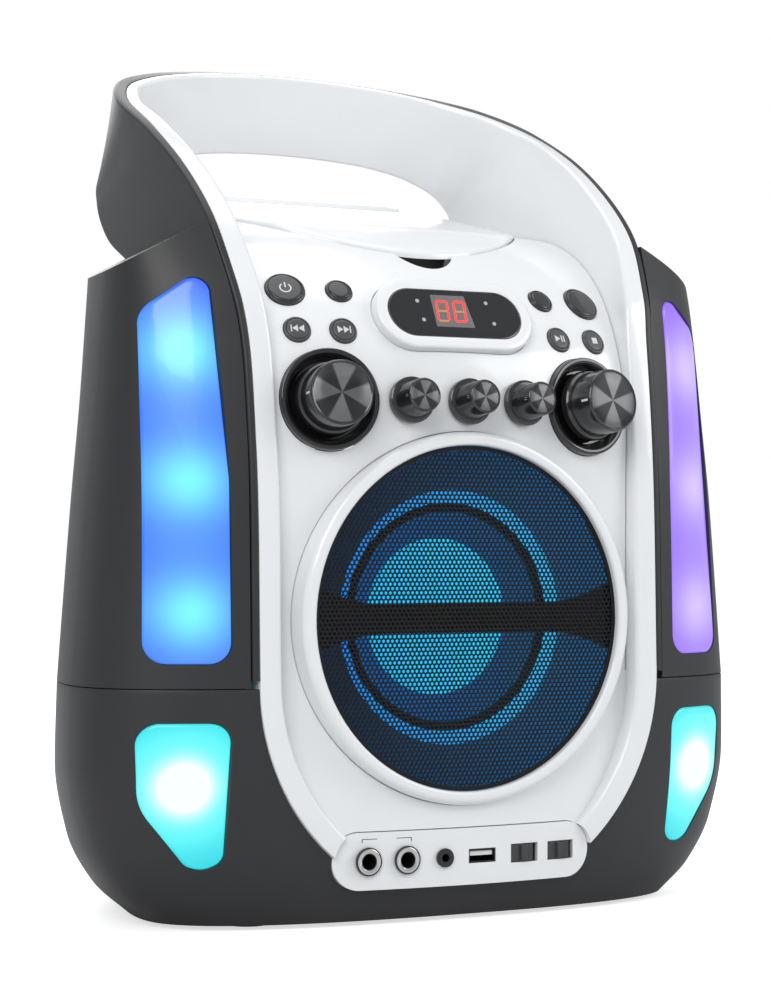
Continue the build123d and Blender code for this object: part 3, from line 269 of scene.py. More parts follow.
def between(levels, height):
    # Level values at a height, on a curve that never overshoots them
    table = np.array(levels, float)
    knots, values = table[:, 0], table[:, 1:]
    gaps = np.diff(knots)
    slopes = np.diff(values, axis=0) / gaps[:, None]
    lean = np.zeros_like(values)
    for row in range(1, len(knots) - 1):
        agree = slopes[row - 1] * slopes[row] > 0
        mean = 2 * slopes[row - 1] * slopes[row] / np.where(agree, slopes[row - 1] + slopes[row], 1)
        lean[row] = np.where(agree, mean, 0)
    lean[0], lean[-1] = slopes[0], slopes[-1]
    return on_curve(knots, values, lean, min(max(height, knots[0]), knots[-1]))


def plan_ring(levels, height, inset, count=440):
    # The housing's outline at a height: a full front, and a flatter rear between rounded flanks
    half_width, ahead, behind = between(levels, height) - inset
    turn = np.linspace(0, pi / 2, 300)
    flat = 0.38 * half_width
    front_x = half_width * np.sin(turn) ** (2 / 2.6)
    front_y = -ahead * np.cos(turn) ** (2 / 2.6)
    rear_x = flat + (half_width - flat) * np.cos(turn) ** (2 / 1.6)
    rear_y = behind * np.sin(turn) ** (2 / 1.6)
    x = np.concatenate([front_x, rear_x[1:], [0]])
    y = np.concatenate([front_y, rear_y[1:], [behind]])
    x, y = np.concatenate([x, -x[-2:0:-1]]), np.concatenate([y, y[-2:0:-1]])
    walked = np.concatenate([[0], np.cumsum(np.hypot(np.diff(x, append=x[0]), np.diff(y, append=y[0])))])
    spots = np.linspace(0, walked[-1], count, endpoint=False)
    x, y = np.append(x, x[0]), np.append(y, y[0])
    return [
        (np.interp(spot, walked, x), widest_depth + np.interp(spot, walked, y), height) for spot in spots
    ]


def housing_block(levels, low, high, inset=0.0, rows=40, edge=0.0):
    heights = list(np.linspace(low, high - edge, rows))
    rings = [plan_ring(levels, height, inset) for height in heights]
    for share in (0.3, 0.6, 0.85, 1.0) if edge else ():
        height = high - edge + edge * sin(share * pi / 2)
        ring = plan_ring(levels, high - edge, inset + edge * (1 - cos(share * pi / 2)))
        rings.append([(x, depth, height) for x, depth, z in ring])
    return lofted("housing", rings, body=None)


def new_group(name, inputs, outputs):
    group = bpy.data.node_groups.new(name, "ShaderNodeTree")
    kinds = {"colour": "NodeSocketColor", "value": "NodeSocketFloat", "vector": "NodeSocketVector"}
    for label, kind, start in inputs:
        socket = group.interface.new_socket(name=label, in_out="INPUT", socket_type=kinds[kind])
        socket.default_value = start
    for label, kind in outputs:
        group.interface.new_socket(name=label, in_out="OUTPUT", socket_type=kinds[kind])
    given = group.nodes.new("NodeGroupInput")
    result = group.nodes.new("NodeGroupOutput")
    return group, given, result


def object_parts(group):
    # The three parts of a place on the piece itself
    place = group.nodes.new("ShaderNodeTexCoord")
    parts = group.nodes.new("ShaderNodeSeparateXYZ")
    group.links.new(place.outputs["Object"], parts.inputs[0])
    return parts


def reckon(group, action, first, second):
    # One sum of two values or sockets inside a group
    node = group.nodes.new("ShaderNodeMath")
    node.operation = action
    for socket, value in zip(node.inputs, (first, second)):
        if isinstance(value, (int, float)):
            socket.default_value = value
        else:
            group.links.new(value, socket)
    return node.outputs[0]


def blend_colours(group, share, first, second):
    node = group.nodes.new("ShaderNodeMix")
    node.data_type = "RGBA"
    group.links.new(share, node.inputs[0])
    group.links.new(first, node.inputs[6])
    group.links.new(second, node.inputs[7])
    return node.outputs[2]


skin_inputs = [
    ("Colour", "colour", (0.5, 0.5, 0.5, 1)), ("Worn Colour", "colour", (0.5, 0.5, 0.5, 1)), ("Grain", "value", 0.0003),
    ("Roughness", "value", 0.4),
]
skin_outputs = [("Colour", "colour"), ("Roughness", "value"), ("Height", "value")]
skin_group, given, result = new_group("moulded_skin", skin_inputs, skin_outputs)
skin_place = skin_group.nodes.new("ShaderNodeTexCoord")
cloud = skin_group.nodes.new("ShaderNodeTexNoise")
cloud.inputs["Scale"].default_value, cloud.inputs["Detail"].default_value = 38, 4
skin_group.links.new(skin_place.outputs["Object"], cloud.inputs["Vector"])
grain = skin_group.nodes.new("ShaderNodeTexNoise")
grain.inputs["Detail"].default_value, grain.inputs["Roughness"].default_value = 3, 0.55
skin_group.links.new(skin_place.outputs["Object"], grain.inputs["Vector"])
skin_group.links.new(reckon(skin_group, "DIVIDE", 1.0, given.outputs["Grain"]), grain.inputs["Scale"])
cloud_share = reckon(skin_group, "MULTIPLY", cloud.outputs["Fac"], 0.7)
speck = reckon(skin_group, "ADD", cloud_share, reckon(skin_group, "MULTIPLY", grain.outputs["Fac"], 0.3))
skin_colour = blend_colours(skin_group, speck, given.outputs["Colour"], given.outputs["Worn Colour"])
skin_group.links.new(skin_colour, result.inputs["Colour"])
sheen = reckon(skin_group, "MULTIPLY", reckon(skin_group, "SUBTRACT", cloud.outputs["Fac"], 0.5), 0.16)
fine_sheen = reckon(skin_group, "MULTIPLY", grain.outputs["Fac"], 0.08)
sheen = reckon(skin_group, "ADD", reckon(skin_group, "ADD", sheen, 1.0), fine_sheen)
skin_group.links.new(reckon(skin_group, "MULTIPLY", given.outputs["Roughness"], sheen), result.inputs["Roughness"])
skin_group.links.new(grain.outputs["Fac"], result.inputs["Height"])


def new_material(name, colour=(0.5, 0.5, 0.5), roughness=0.4, metallic=0.0, coat=0.0):
    material = bpy.data.materials.new(name)
    material.use_nodes = True
    shader = material.node_tree.nodes["Principled BSDF"]
    shader.inputs["Base Color"].default_value = (*colour, 1)
    shader.inputs["Roughness"].default_value = roughness
    shader.inputs["Metallic"].default_value = metallic
    shader.inputs["Coat Weight"].default_value = coat
    shader.inputs["Coat Roughness"].default_value = 0.04
    tree = material.node_tree
    return {"material": material, "nodes": tree.nodes, "links": tree.links, "shader": shader}


def place_group(made, group, values):
    node = made["nodes"].new("ShaderNodeGroup")
    node.node_tree = group
    for label, value in values.items():
        node.inputs[label].default_value = value
    return node


def join(made, socket, label):
    made["links"].new(socket, made["shader"].inputs[label])


def join_bump(made, socket, strength, distance):
    bump = made["nodes"].new("ShaderNodeBump")
    bump.inputs["Strength"].default_value, bump.inputs["Distance"].default_value = strength, distance
    made["links"].new(socket, bump.inputs["Height"])
    made["links"].new(bump.outputs["Normal"], made["shader"].inputs["Normal"])


def moulded(name, colour, worn, roughness, grain_size, relief, coat, metallic=0.0):
    # A moulded, sprayed or cast surface: a colour that drifts to a second one, and a fine grain
    made = new_material(name, colour, roughness, metallic, coat)
    values = {"Colour": (*colour, 1), "Worn Colour": (*worn, 1), "Grain": grain_size, "Roughness": roughness}
    skin = place_group(made, skin_group, values)
    join(made, skin.outputs["Colour"], "Base Color")
    join(made, skin.outputs["Roughness"], "Roughness")
    join_bump(made, skin.outputs["Height"], relief, 0.00006)
    return made["material"]


def painted(piece, material):
    piece.data.materials.append(material)


satin_black = moulded("satin_black", (0.015, 0.015, 0.016), (0.024, 0.024, 0.025), 0.4, 0.00032, 0.55, 0.0)


base_skin = housing_block(base_levels, 2.0, 103.0, rows=44, edge=0.7)
base_skin.name = "base_skin"
carved(base_skin, housing_block(base_levels, 5.0, 110.0, housing_wall, rows=26))
carved(base_skin, slab_cutter((-200, cover_seam, -10), (200, 260, 120)))
rim_reach = rim_outer + seam_gap
low_turn = asin((fascia_low - seam_gap - rim_centre) / rim_reach)
rim_turns = np.linspace(low_turn, pi - low_turn, 150)
rim_hole = [(rim_reach * cos(turn), rim_centre + rim_reach * sin(turn)) for turn in rim_turns]
carved(base_skin, front_cutter(rim_hole, -60, 60))
carved(base_skin, front_cutter(stadium(plate_width + 0.6, plate_height + 0.6, (0, plate_centre)), -60, 40))
base_lens_path = rounded(base_lens_corners, base_lens_rounds)
for side in (-1, 1):
    outline = [(side * x, z) for x, z in grown(base_lens_path, seam_gap)]
    carved(base_skin, front_cutter(outline, -60, 60))
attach(smoothed(base_skin), "case")
painted(base_skin, satin_black)
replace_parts(base_skin, "base_shell")

# Carrying handle: a white inner shell and a black outer shell, both moulded, clipped back to back into one
# broad band. It rises from the rim of the fascia, leans back and is widest where the hand takes it.
arch_stations = [
    ((98.9, 5.4, 106.4), (98.9, 34.0, 106.4), 10.5, 3.2),
    ((99.2, 9.5, 205.0), (99.0, 46.0, 205.0), 10.5, 3.2),
    ((100.4, 16.5, 256.0), (99.3, 92.0, 262.0), 10.5, 3.2),
    ((103.4, 24.5, 280.0), (99.5, 141.0, 292.6), 10.2, 3.4),
    ((106.5, 40.6, 307.0), (99.4, 166.0, 305.0), 9.6, 3.6),
    ((107.9, 66.0, 329.5), (99.2, 177.0, 315.0), 9.0, 3.9),
    ((108.6, 100.0, 351.0), (98.0, 183.5, 325.0), 8.0, 4.6),
    ((105.9, 136.0, 368.2), (94.5, 187.5, 334.0), 6.8, 5.8),
    ((96.0, 158.5, 378.6), (86.0, 190.0, 341.5), 5.6, 6.8),
    ((80.0, 172.5, 385.4), (72.0, 192.5, 348.0), 4.6, 7.6),
    ((56.0, 184.0, 391.0), (52.0, 196.5, 353.4), 3.8, 8.4),
    ((28.0, 193.0, 394.6), (27.0, 202.5, 356.8), 3.2, 8.8),
    ((0.0, 196.2, 395.7), (0.0, 205.4, 358.0), 3.0, 9.0),
]
shell_gap = 0.2


def arch_lines(count=230):
    # Station values from the right foot over the top to the left foot, on a curve through every station
    half = np.array([(*front, *rear, white, black) for front, rear, white, black in arch_stations])
    table = np.concatenate([half, half[-2::-1] * (-1, 1, 1, -1, 1, 1, 1, 1)])
    middles = (table[:, :3] + table[:, 3:6]) / 2
    walked = np.concatenate([[0], np.cumsum(np.linalg.norm(np.diff(middles, axis=0), axis=1))])
    gaps = np.diff(walked)[:, None]
    slopes = np.diff(table, axis=0) / gaps
    lean = np.zeros_like(table)
    lean[1:-1] = (slopes[:-1] * gaps[1:] + slopes[1:] * gaps[:-1]) / (gaps[1:] + gaps[:-1])
    lean[0], lean[-1] = slopes[0], slopes[-1]
    return np.array([on_curve(walked, table, lean, spot) for spot in np.linspace(0, walked[-1], count)])


def arch_shell(name, low, high, radii, ahead=0.0, behind=0.0, body="case"):
    # The band between two offsets from the line where the colours meet, each a share of white, black, plus more
    lines = arch_lines()
    middles = (lines[:, :3] + lines[:, 3:6]) / 2
    travel = np.gradient(middles, axis=0)
    travel[0], travel[-1] = (0, 0, 1), (0, 0, -1)
    rings = []
    for line, course in zip(lines, travel):
        front, rear, white, black = Vector(line[:3]), Vector(line[3:6]), line[6], line[7]
        along = (rear - front).normalized()
        outward = along.cross(Vector(course)).normalized()
        start, end = -ahead, (rear - front).length + behind
        lower = low[0] * white + low[1] * black + low[2]
        upper = high[0] * white + high[1] * black + high[2]
        fit = min(1.0, (upper - lower) * 0.49 / max(*radii, 0.01))
        corners = [(start, lower), (end, lower), (end, upper), (start, upper)]
        section = rounded(corners, [radius * fit for radius in radii], steps=5)
        rings.append([tuple(front + along * s + outward * t) for s, t in section])
    return lofted(name, rings, body)


gloss_white = moulded("gloss_white", (0.80, 0.81, 0.82), (0.84, 0.845, 0.85), 0.2, 0.0016, 0.08, 0.45)
white_band = arch_shell("handle_white", (-1, 0, 0), (0, 0, 0), (2.2, 1.6, 0.5, 0.5))
painted(white_band, gloss_white)
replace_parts(smoothed(white_band, 50), "handle_inner")
black_band = arch_shell("handle_black", (0, 0, shell_gap), (0, 1, 0), (0.5, 0.5, 2.6, 2.2))
painted(black_band, satin_black)
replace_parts(smoothed(black_band, 50), "handle_outer")

# Side panels: the upper black housings, one to a side, with a sloping shoulder beside the handle and a tall
# window for the lens. They meet the base shell in a fine seam.
upper_levels = [
    (103.0, 161.3, 62.5, 142.0),
    (182.5, 154.6, 61.0, 142.0),
    (228.0, 150.2, 57.0, 142.0),
    (270.0, 147.0, 49.0, 142.0),
    (304.0, 144.6, 31.0, 142.0),
]
panel_inner = 102.7
shoulder_height, shoulder_x, shoulder_depth = 302.3, 108.6, 38.3
shoulder_fall_out, shoulder_fall_back = 0.52, 0.093
side_lens_corners = [(110.2, 113.5), (144.0, 113.5), (141.0, 262.0), (114.8, 281.5), (110.3, 190.0)]
side_lens_rounds = (9.0, 9.0, 12.0, 6.0, 60.0)
side_lens_path = rounded(side_lens_corners, side_lens_rounds)


def shoulder_cutter(side, drop=0.0):
    # All that lies above the sloping shoulder
    normal = Vector((side * shoulder_fall_out, shoulder_fall_back, 1)).normalized()
    origin = Vector((side * shoulder_x, shoulder_depth, shoulder_height - drop))
    across = Vector((1, 0, -side * shoulder_fall_out)).normalized()
    back = normal.cross(across)
    rings = []
    for rise in (0, 150):
        corners = ((-1, -1), (1, -1), (1, 1), (-1, 1))
        ring = [origin + across * a * 250 + back * b * 250 + normal * rise for a, b in corners]
        rings.append([tuple(spot) for spot in ring])
    return lofted("cutter", rings, body=None)


for side, name in ((-1, "left"), (1, "right")):
    panel = housing_block(upper_levels, 103.0 + seam_gap, 303.9, rows=64)
    panel.name = f"side_skin_{name}"
    carved(panel, shoulder_cutter(side))
    hollow = housing_block(upper_levels, 100.0, 303.9, housing_wall, rows=40)
    carved(hollow, shoulder_cutter(side, housing_wall))
    carved(panel, hollow)
    inward = (-200 if side > 0 else -panel_inner, panel_inner if side > 0 else 200)
    carved(panel, slab_cutter((inward[0], -20, 90), (inward[1], 260, 320)))
    carved(panel, slab_cutter((-200, cover_seam, 90), (200, 260, 320)))
    carved(panel, arch_shell("cutter", (0, 0, -4), (0, 1, seam_gap), (0, 0, 0, 0), 4, 2, None))
    outline = [(side * x, z) for x, z in grown(side_lens_path, seam_gap)]
    carved(panel, front_cutter(outline, -60, 60))
    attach(smoothed(panel), "case")
    painted(panel, satin_black)
    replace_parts(panel, f"side_panel_{name}")

# Front fascia: one glossy white moulding, bowed across, that turns back over the top into the disc deck. It
# has a proud rim round its lower half and holes for the speaker, the controls and the lid.
fascia_depth, fascia_wall, bow_radius = 5.0, 3.0, 394.0
arc_start, arc_radius, arc_sweep, deck_rear = 213.0, 98.4, 80.0, 192.0
speaker_height, bezel_outer = 131.5, 81.0
lid_radius, lid_centre, lid_half_width, hinge_depth, lid_gap = 82.0, 128.1, 75.0, 181.0, 0.9
notch_radius, notch_depth, notch_floor = 17.0, 54.7, 284.5
knob_height, volume_x, dial_radius, tone_x = 225.2, 64.3, 22.0, (-28.0, 0.0, 28.0)
buttons = {
    "power": (-75.0, 273.2, 8.8),
    "repeat": (-51.0, 273.2, 6.0),
    "previous": (-74.6, 255.2, 6.0),
    "next": (-54.2, 255.2, 6.0),
    "program": (51.0, 273.2, 6.0),
    "light_show": (75.0, 273.2, 8.8),
    "play": (54.2, 255.2, 6.0),
    "stop": (74.6, 255.2, 6.0),
}
display_height, display_tilt, pod_width, pod_height = 263.3, radians(26.0), 78.0, 35.0
hinge_height, hinge_half_length = 327.4, 52.0


def strip_profile(offset, low, rear):
    # Depths and heights of the middle section, from the foot over the arc to the rear of the deck
    radius = arc_radius + offset
    turns = np.radians(np.linspace(0, arc_sweep, 50))
    path = [(fascia_depth - offset, height) for height in np.linspace(low, arc_start, 62)[:-1]]
    path += [(fascia_depth + arc_radius - radius * cos(turn), arc_start + radius * sin(turn)) for turn in turns]
    end_depth, end_height = path[-1]
    for depth in np.linspace(end_depth, rear, 36)[1:]:
        path.append((depth, end_height + (depth - end_depth) * tan(radians(90 - arc_sweep))))
    return path


def bowed(depth, x):
    # Depth of a point of the middle section once it's carried round the bow's axis to x
    turning = fascia_depth + bow_radius - depth
    return fascia_depth + bow_radius - sqrt(turning * turning - x * x)


def bowed_slab(name, offset, thickness, low, rear, half_width, columns=90, body=None):
    front, back = strip_profile(offset, low, rear), strip_profile(offset - thickness, low, rear)
    rings = []
    for x in np.linspace(-half_width, half_width, columns):
        loop = [(x, bowed(depth, x), height) for depth, height in front]
        loop += [(x, bowed(depth, x), height) for depth, height in back[::-1]]
        rings.append(loop)
    return lofted(name, rings, body)


def facing(x, height):
    # Origin and directions, across, up and outwards, of the plane that touches the fascia at a point
    rise = max(0.0, height - arc_start) / arc_radius
    profile_depth = fascia_depth + arc_radius * (1 - sqrt(1 - rise * rise))
    turning = bow_radius + fascia_depth - profile_depth
    aside = asin(x / turning)
    lean = asin(rise)
    origin = Vector((x, fascia_depth + bow_radius - turning * cos(aside), height))
    outward = Vector((sin(aside) * cos(lean), -cos(aside) * cos(lean), sin(lean)))
    across = Vector((cos(aside), sin(aside), 0))
    return origin, across, outward.cross(across), outward


def display_facing():
    origin = facing(0, display_height)[0]
    outward = Vector((0, -cos(display_tilt), sin(display_tilt)))
    across = Vector((1, 0, 0))
    return origin, across, outward.cross(across), outward


def pulled(plane, outline, start, end, name="cutter", body=None):
    # An outline drawn on a plane and pulled along its normal from one rise to another
    origin, across, up, outward = plane
    rings = [[tuple(origin + across * a + up * b + outward * rise) for a, b in outline] for rise in (start, end)]
    return lofted(name, rings, body)


def lid_path(grow=0.0, rear=hinge_depth, steps=120):
    # Plan of the lid: a round front between straight sides, from rear right round the front to rear left
    radius, half_width = lid_radius + grow, lid_half_width + grow
    turn = asin(half_width / radius)
    turns = np.linspace(turn, -turn, steps)
    front = [(radius * sin(t), lid_centre - radius * cos(t)) for t in turns]
    return [(half_width, rear)] + front + [(-half_width, rear)]


def plan_cutter(outline, low, high):
    return lofted("cutter", [[(x, depth, z) for x, depth in outline] for z in (low, high)], body=None)


fascia = bowed_slab("fascia_skin", 0, fascia_wall, fascia_low, deck_rear, 106)
outer = [(rim_reach * cos(turn) * rim_outer / rim_reach, rim_centre + rim_outer * sin(turn)) for turn in rim_turns]
outer = [(x, z) for x, z in outer if z <= rim_centre]
left_side = [(x, z) for x, z in outer if x < 0]
right_side = [(x, z) for x, z in outer if x > 0]
fascia_outline = left_side + right_side + [(103.9, rim_centre + 1), (103.9, 296), (97, 318), (97, 400)]
fascia_outline += [(-x, z) for x, z in fascia_outline[:-5:-1]]
carved(fascia, front_cutter(fascia_outline, -40, 260), "INTERSECT")
carved(fascia, arch_shell("cutter", (-1, 0, -2 * seam_gap), (0, 0, 20), (0, 0, 0, 0), 4, 30, None))
carved(fascia, front_cutter(circle_outline(bezel_outer + seam_gap, (0, speaker_height), 150), -60, 60))
carved(fascia, front_cutter(stadium(plate_width + 0.6, plate_height + 0.6, (0, plate_centre)), -60, 60))
for x in (-volume_x, volume_x):
    carved(fascia, pulled(facing(x, knob_height), circle_outline(dial_radius + seam_gap), -20, 20))
for x in tone_x:
    carved(fascia, pulled(facing(x, knob_height), circle_outline(4.7, count=40), -20, 20))
for x, height, radius in buttons.values():
    carved(fascia, pulled(facing(x, height), circle_outline(radius + seam_gap, count=64), -12, 10))
carved(fascia, pulled(display_facing(), stadium(pod_width + 0.6, pod_height + 0.6), -25, 25))
notch = circle_outline(notch_radius, (0, notch_depth), 72)
carved(fascia, plan_cutter(notch, notch_floor, notch_floor + 40))
carved(fascia, plan_cutter(lid_path(lid_gap, hinge_depth + lid_gap), 250, 370))
carved(fascia, slab_cutter((-52.3, hinge_depth - 7, 300), (52.3, hinge_depth + 6.1, 340)))
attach(smoothed(fascia), "case")
painted(fascia, gloss_white)
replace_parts(fascia, "front_fascia")

notch_rings = []
for radius, height in ((1, 284.5), (15.2, 284.5), (16.4, 284.9), (16.95, 285.9), (17.02, 286.2), (17.02, 293.0)):
    ring = circle_outline(radius, (0, notch_depth), 72)
    tops = [arc_start + sqrt(arc_radius**2 - (fascia_depth + arc_radius - depth) ** 2) - 0.3 for x, depth in ring]
    notch_rings.append([(x, depth, min(height, max(top, 284.5))) for (x, depth), top in zip(ring, tops)])
thumb_notch = smoothed(lofted("thumb_notch", notch_rings, capped=False), 60)
painted(thumb_notch, gloss_white)

rim_rings = []
rim_inner, rim_back = rim_outer - rim_width, 20.0
rim_section = [(rim_outer, rim_depth), (rim_outer, rim_back), (rim_inner, rim_back), (rim_inner, rim_depth)]
rim_section = rounded(rim_section, (0.5, 0.5, 1.6, 2.2), steps=5)
for turn in [None, *np.linspace(0, -pi, 120), None]:
    across, up = (cos(turn), sin(turn)) if turn is not None else (1.0 if not rim_rings else -1.0, 0.0)
    lift = 0.4 if turn is None else 0.0
    rim_rings.append([(r * across, depth, rim_centre + r * up + lift) for r, depth in rim_section])
rim = lofted("fascia_rim", rim_rings, body=None)
carved(rim, slab_cutter((-90, -10, 0), (90, 60, fascia_low)))
carved(rim, front_cutter(stadium(plate_width + 0.6, plate_height + 0.6, (0, plate_centre)), -60, 60))
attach(smoothed(rim, 50), "case")
painted(rim, gloss_white)

# Disc lid: a thin glossy white shell with a round front that dips steeply to the thumb notch. A barrel along
# its rear edge turns on two steel pins in the ears of the deck.
lid_crest, lid_slope, lid_bevel = 332.6, tan(radians(12.5)), 69.0


def lid_top(x, depth):
    reach = fascia_depth + bow_radius
    middle = reach - hypot(x, reach - depth)
    flat = lid_crest - (hinge_depth - middle) * lid_slope
    if middle >= lid_bevel:
        return flat
    skin = arc_radius + 1.2
    centre = fascia_depth + arc_radius
    low = arc_start + sqrt(skin**2 - (centre - middle) ** 2)
    step = lid_crest - (hinge_depth - lid_bevel) * lid_slope - arc_start - sqrt(skin**2 - (centre - lid_bevel) ** 2)
    ease = min(1.0, (lid_bevel - middle) / 10.0)
    return low + step * (1 - ease * ease * (3 - 2 * ease))


lid_plan = lid_path()
lid_rings = []
for share in (0.02, 0.12, 0.24, 0.36, 0.48, 0.6, 0.7, 0.78, 0.85, 0.91, 0.95):
    lid_rings.append((share, 0.0, 0.0))
edge_rings = [(1.0, 1.8, 0.0), (1.0, 1.0, 0.12), (1.0, 0.45, 0.45), (1.0, 0.12, 0.95), (1.0, 0.0, 1.6), (1.0, 0.0, 3.0)]
under_rings = [(1.0, 2.2, 3.0), (1.0, 2.2, 2.2)] + [(share, 0.0, 2.2) for share, _, _ in lid_rings[::-1]]
lid_loops = []
for share, inset, drop in lid_rings + edge_rings + under_rings:
    loop = grown(lid_plan, -inset) if inset else np.array(lid_plan)
    loop = [(x * share, lid_centre + (depth - lid_centre) * share) for x, depth in loop]
    lid_loops.append([(x, depth, lid_top(x, depth) - drop) for x, depth in loop])
lid = smoothed(lofted("lid_skin", lid_loops, "lid"), 40)
painted(lid, gloss_white)
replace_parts(lid, "disc_lid")


def hinge_rod(name, radius, start, end, body):
    ring = circle_outline(radius, (hinge_depth, hinge_height), 40)
    inner = circle_outline(radius - 0.6, (hinge_depth, hinge_height), 40)
    chosen = (inner, ring, ring, inner)
    spots = (start, start + 0.5, end - 0.5, end)
    return smoothed(lofted(name, [[(x, d, z) for d, z in loop] for x, loop in zip(spots, chosen)], body))


lid_barrel = hinge_rod("lid_barrel", 5.2, -hinge_half_length, hinge_half_length, "lid")
ear_left = hinge_rod("hinge_ear_left", 4.8, -58.3, -52.3, "case")
ear_right = hinge_rod("hinge_ear_right", 4.8, 52.3, 58.3, "case")
for rod in (lid_barrel, ear_left, ear_right):
    painted(rod, gloss_white)


def turned(name, section, plane, closed=False, count=96, body="case", local=False):
    # A form turned about a plane's normal, from the radii and rises of its half section
    origin, across, up, outward = plane
    rows = []
    for step in range(count):
        turn = 2 * pi * step / count
        if local:
            rows.append([(r * cos(turn), r * sin(turn), rise) for r, rise in section])
        else:
            arm = across * cos(turn) + up * sin(turn)
            rows.append([tuple(origin + arm * r + outward * rise) for r, rise in section])
    points = np.array(rows, float)
    size = len(section)
    faces = []
    for step in range(count):
        ahead = (step + 1) % count
        for spot in range(size if closed else size - 1):
            far = (spot + 1) % size
            faces.append((step * size + spot, ahead * size + spot, ahead * size + far, step * size + far))
    if not closed:
        faces.append(tuple(step * size for step in range(count))[::-1])
        faces.append(tuple(step * size + size - 1 for step in range(count)))
    if local:
        points = points - (0, front_line, 0)
        piece = new_piece(name, points, faces, None)
        basis = Matrix((across, up, outward)).transposed().to_4x4()
        place = (origin + Vector((0, front_line, 0))) / 1000
        piece.matrix_world = Matrix.Translation(place) @ basis
        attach(piece, body)
    else:
        piece = new_piece(name, points, faces, body)
    return smoothed(faced_out(piece), 40)


# Speaker: a white moulded bezel with a dark baffle, screwed behind the fascia, a mesh of black sheet steel in
# front of a dark bar, and a driver with a blue paper cone, a pressed basket and a ferrite magnet.
bezel_inner, baffle_opening = 75.0, 56.0
speaker_plane = (Vector((0, 0, speaker_height)), Vector((1, 0, 0)), Vector((0, 0, 1)), Vector((0, -1, 0)))
bezel_corners = [(bezel_inner + 0.6, -21), (bezel_inner, -17), (bezel_inner, 0)]
bezel_corners += [(bezel_outer, 0), (bezel_outer, -18.6), (87, -18.6), (87, -21)]
bezel_section = rounded(bezel_corners, (0, 0, 1.6, 3.2, 0, 0, 0), steps=7)
bezel = turned("bezel_ring", bezel_section, speaker_plane, closed=True, count=160)
painted(bezel, gloss_white)
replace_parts(bezel, "speaker_bezel")
baffle_section = [(baffle_opening, -21), (baffle_opening, -18), (74.2, -18), (74.9, -17.2)]
baffle_section += [(74.9, -4.4), (75.3, -4.4), (75.3, -21)]
baffle = turned("baffle_ring", baffle_section, speaker_plane, closed=True, count=160)
# Painted light: an emission colour that turns from the near blue to the far blue across the width, standing in for the
# lens lamps' light falling on the speaker parts.
painted_glow_inputs = [("Near", "colour", (0, 0, 0, 1)), ("Far", "colour", (1, 1, 1, 1))]
painted_glow_group, given, result = new_group("painted_side_glow", painted_glow_inputs, [("Colour", "colour")])
painted_glow_parts = object_parts(painted_glow_group)
painted_glow_share = reckon(painted_glow_group, "MULTIPLY", reckon(painted_glow_group, "ADD", painted_glow_parts.outputs["X"], 0.055), 9.0)
painted_glow_share = reckon(painted_glow_group, "MINIMUM", reckon(painted_glow_group, "MAXIMUM", painted_glow_share, 0.0), 1.0)
painted_glow_colour = blend_colours(painted_glow_group, painted_glow_share, given.outputs["Near"], given.outputs["Far"])
painted_glow_group.links.new(painted_glow_colour, result.inputs["Colour"])


def lamplit(name, colour, roughness, near, far, strength):
    # Dark plastic or paper with painted light: an emission in the blue of the lamps beside it, stronger towards one
    # side, though the part is no lamp
    made = new_material(name, colour, roughness)
    painted_glow = place_group(made, painted_glow_group, {"Near": (*near, 1), "Far": (*far, 1)})
    values = {"Colour": (*colour, 1), "Worn Colour": (*colour, 1), "Grain": 0.0006, "Roughness": roughness}
    skin = place_group(made, skin_group, values)
    join(made, painted_glow.outputs["Colour"], "Emission Color")
    join(made, skin.outputs["Roughness"], "Roughness")
    join_bump(made, skin.outputs["Height"], 0.3, 0.00006)
    made["shader"].inputs["Emission Strength"].default_value = strength
    return made["material"]


# Painted light: the near-black baffle glows in the blue of the lens lamps.
baffle_painted_glow = lamplit("baffle_painted_glow", (0.004, 0.012, 0.03), 0.5, (0.0, 0.018, 0.06), (0.01, 0.13, 0.34), 0.8)
painted(baffle, baffle_painted_glow)

mesh_reach, mesh_pitch, mesh_hole = 73.2, 2.16, 0.82
mesh_points, mesh_faces = [], []
row_step = mesh_pitch * sqrt(3) / 2
corner_turns = [pi / 6 + pi * k / 3 for k in range(6)]
for row in range(-41, 42):
    for column in range(-36, 37):
        x = (column + (row % 2) / 2) * mesh_pitch
        z = row * row_step
        if hypot(x, z) > mesh_reach:
            continue
        first = len(mesh_points)
        cell = mesh_pitch / sqrt(3)
        for size, depth in ((cell, 3.2), (mesh_hole, 3.0), (mesh_hole, 3.5)):
            for turn in corner_turns:
                mesh_points.append((x + size * cos(turn), depth, speaker_height + z + size * sin(turn)))
        for k in range(6):
            after = (k + 1) % 6
            mesh_faces.append((first + k, first + after, first + 6 + after, first + 6 + k))
            mesh_faces.append((first + 6 + k, first + 6 + after, first + 12 + after, first + 12 + k))
grille_mesh = new_piece("grille_mesh", mesh_points, mesh_faces)
rim_band = [(73.0, -3.0), (74.7, -3.0), (74.7, -3.9), (73.0, -3.9)]
grille_rim = turned("grille_rim", rim_band, speaker_plane, closed=True, count=160)
mesh_black = moulded("mesh_black", (0.004, 0.004, 0.005), (0.008, 0.008, 0.009), 0.45, 0.0005, 0.2, 0.0)
mesh_black.node_tree.nodes["Principled BSDF"].inputs["Specular IOR Level"].default_value = 0.25
for part in (grille_mesh, grille_rim):
    painted(part, mesh_black)
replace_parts(grille_mesh, "speaker_grille")

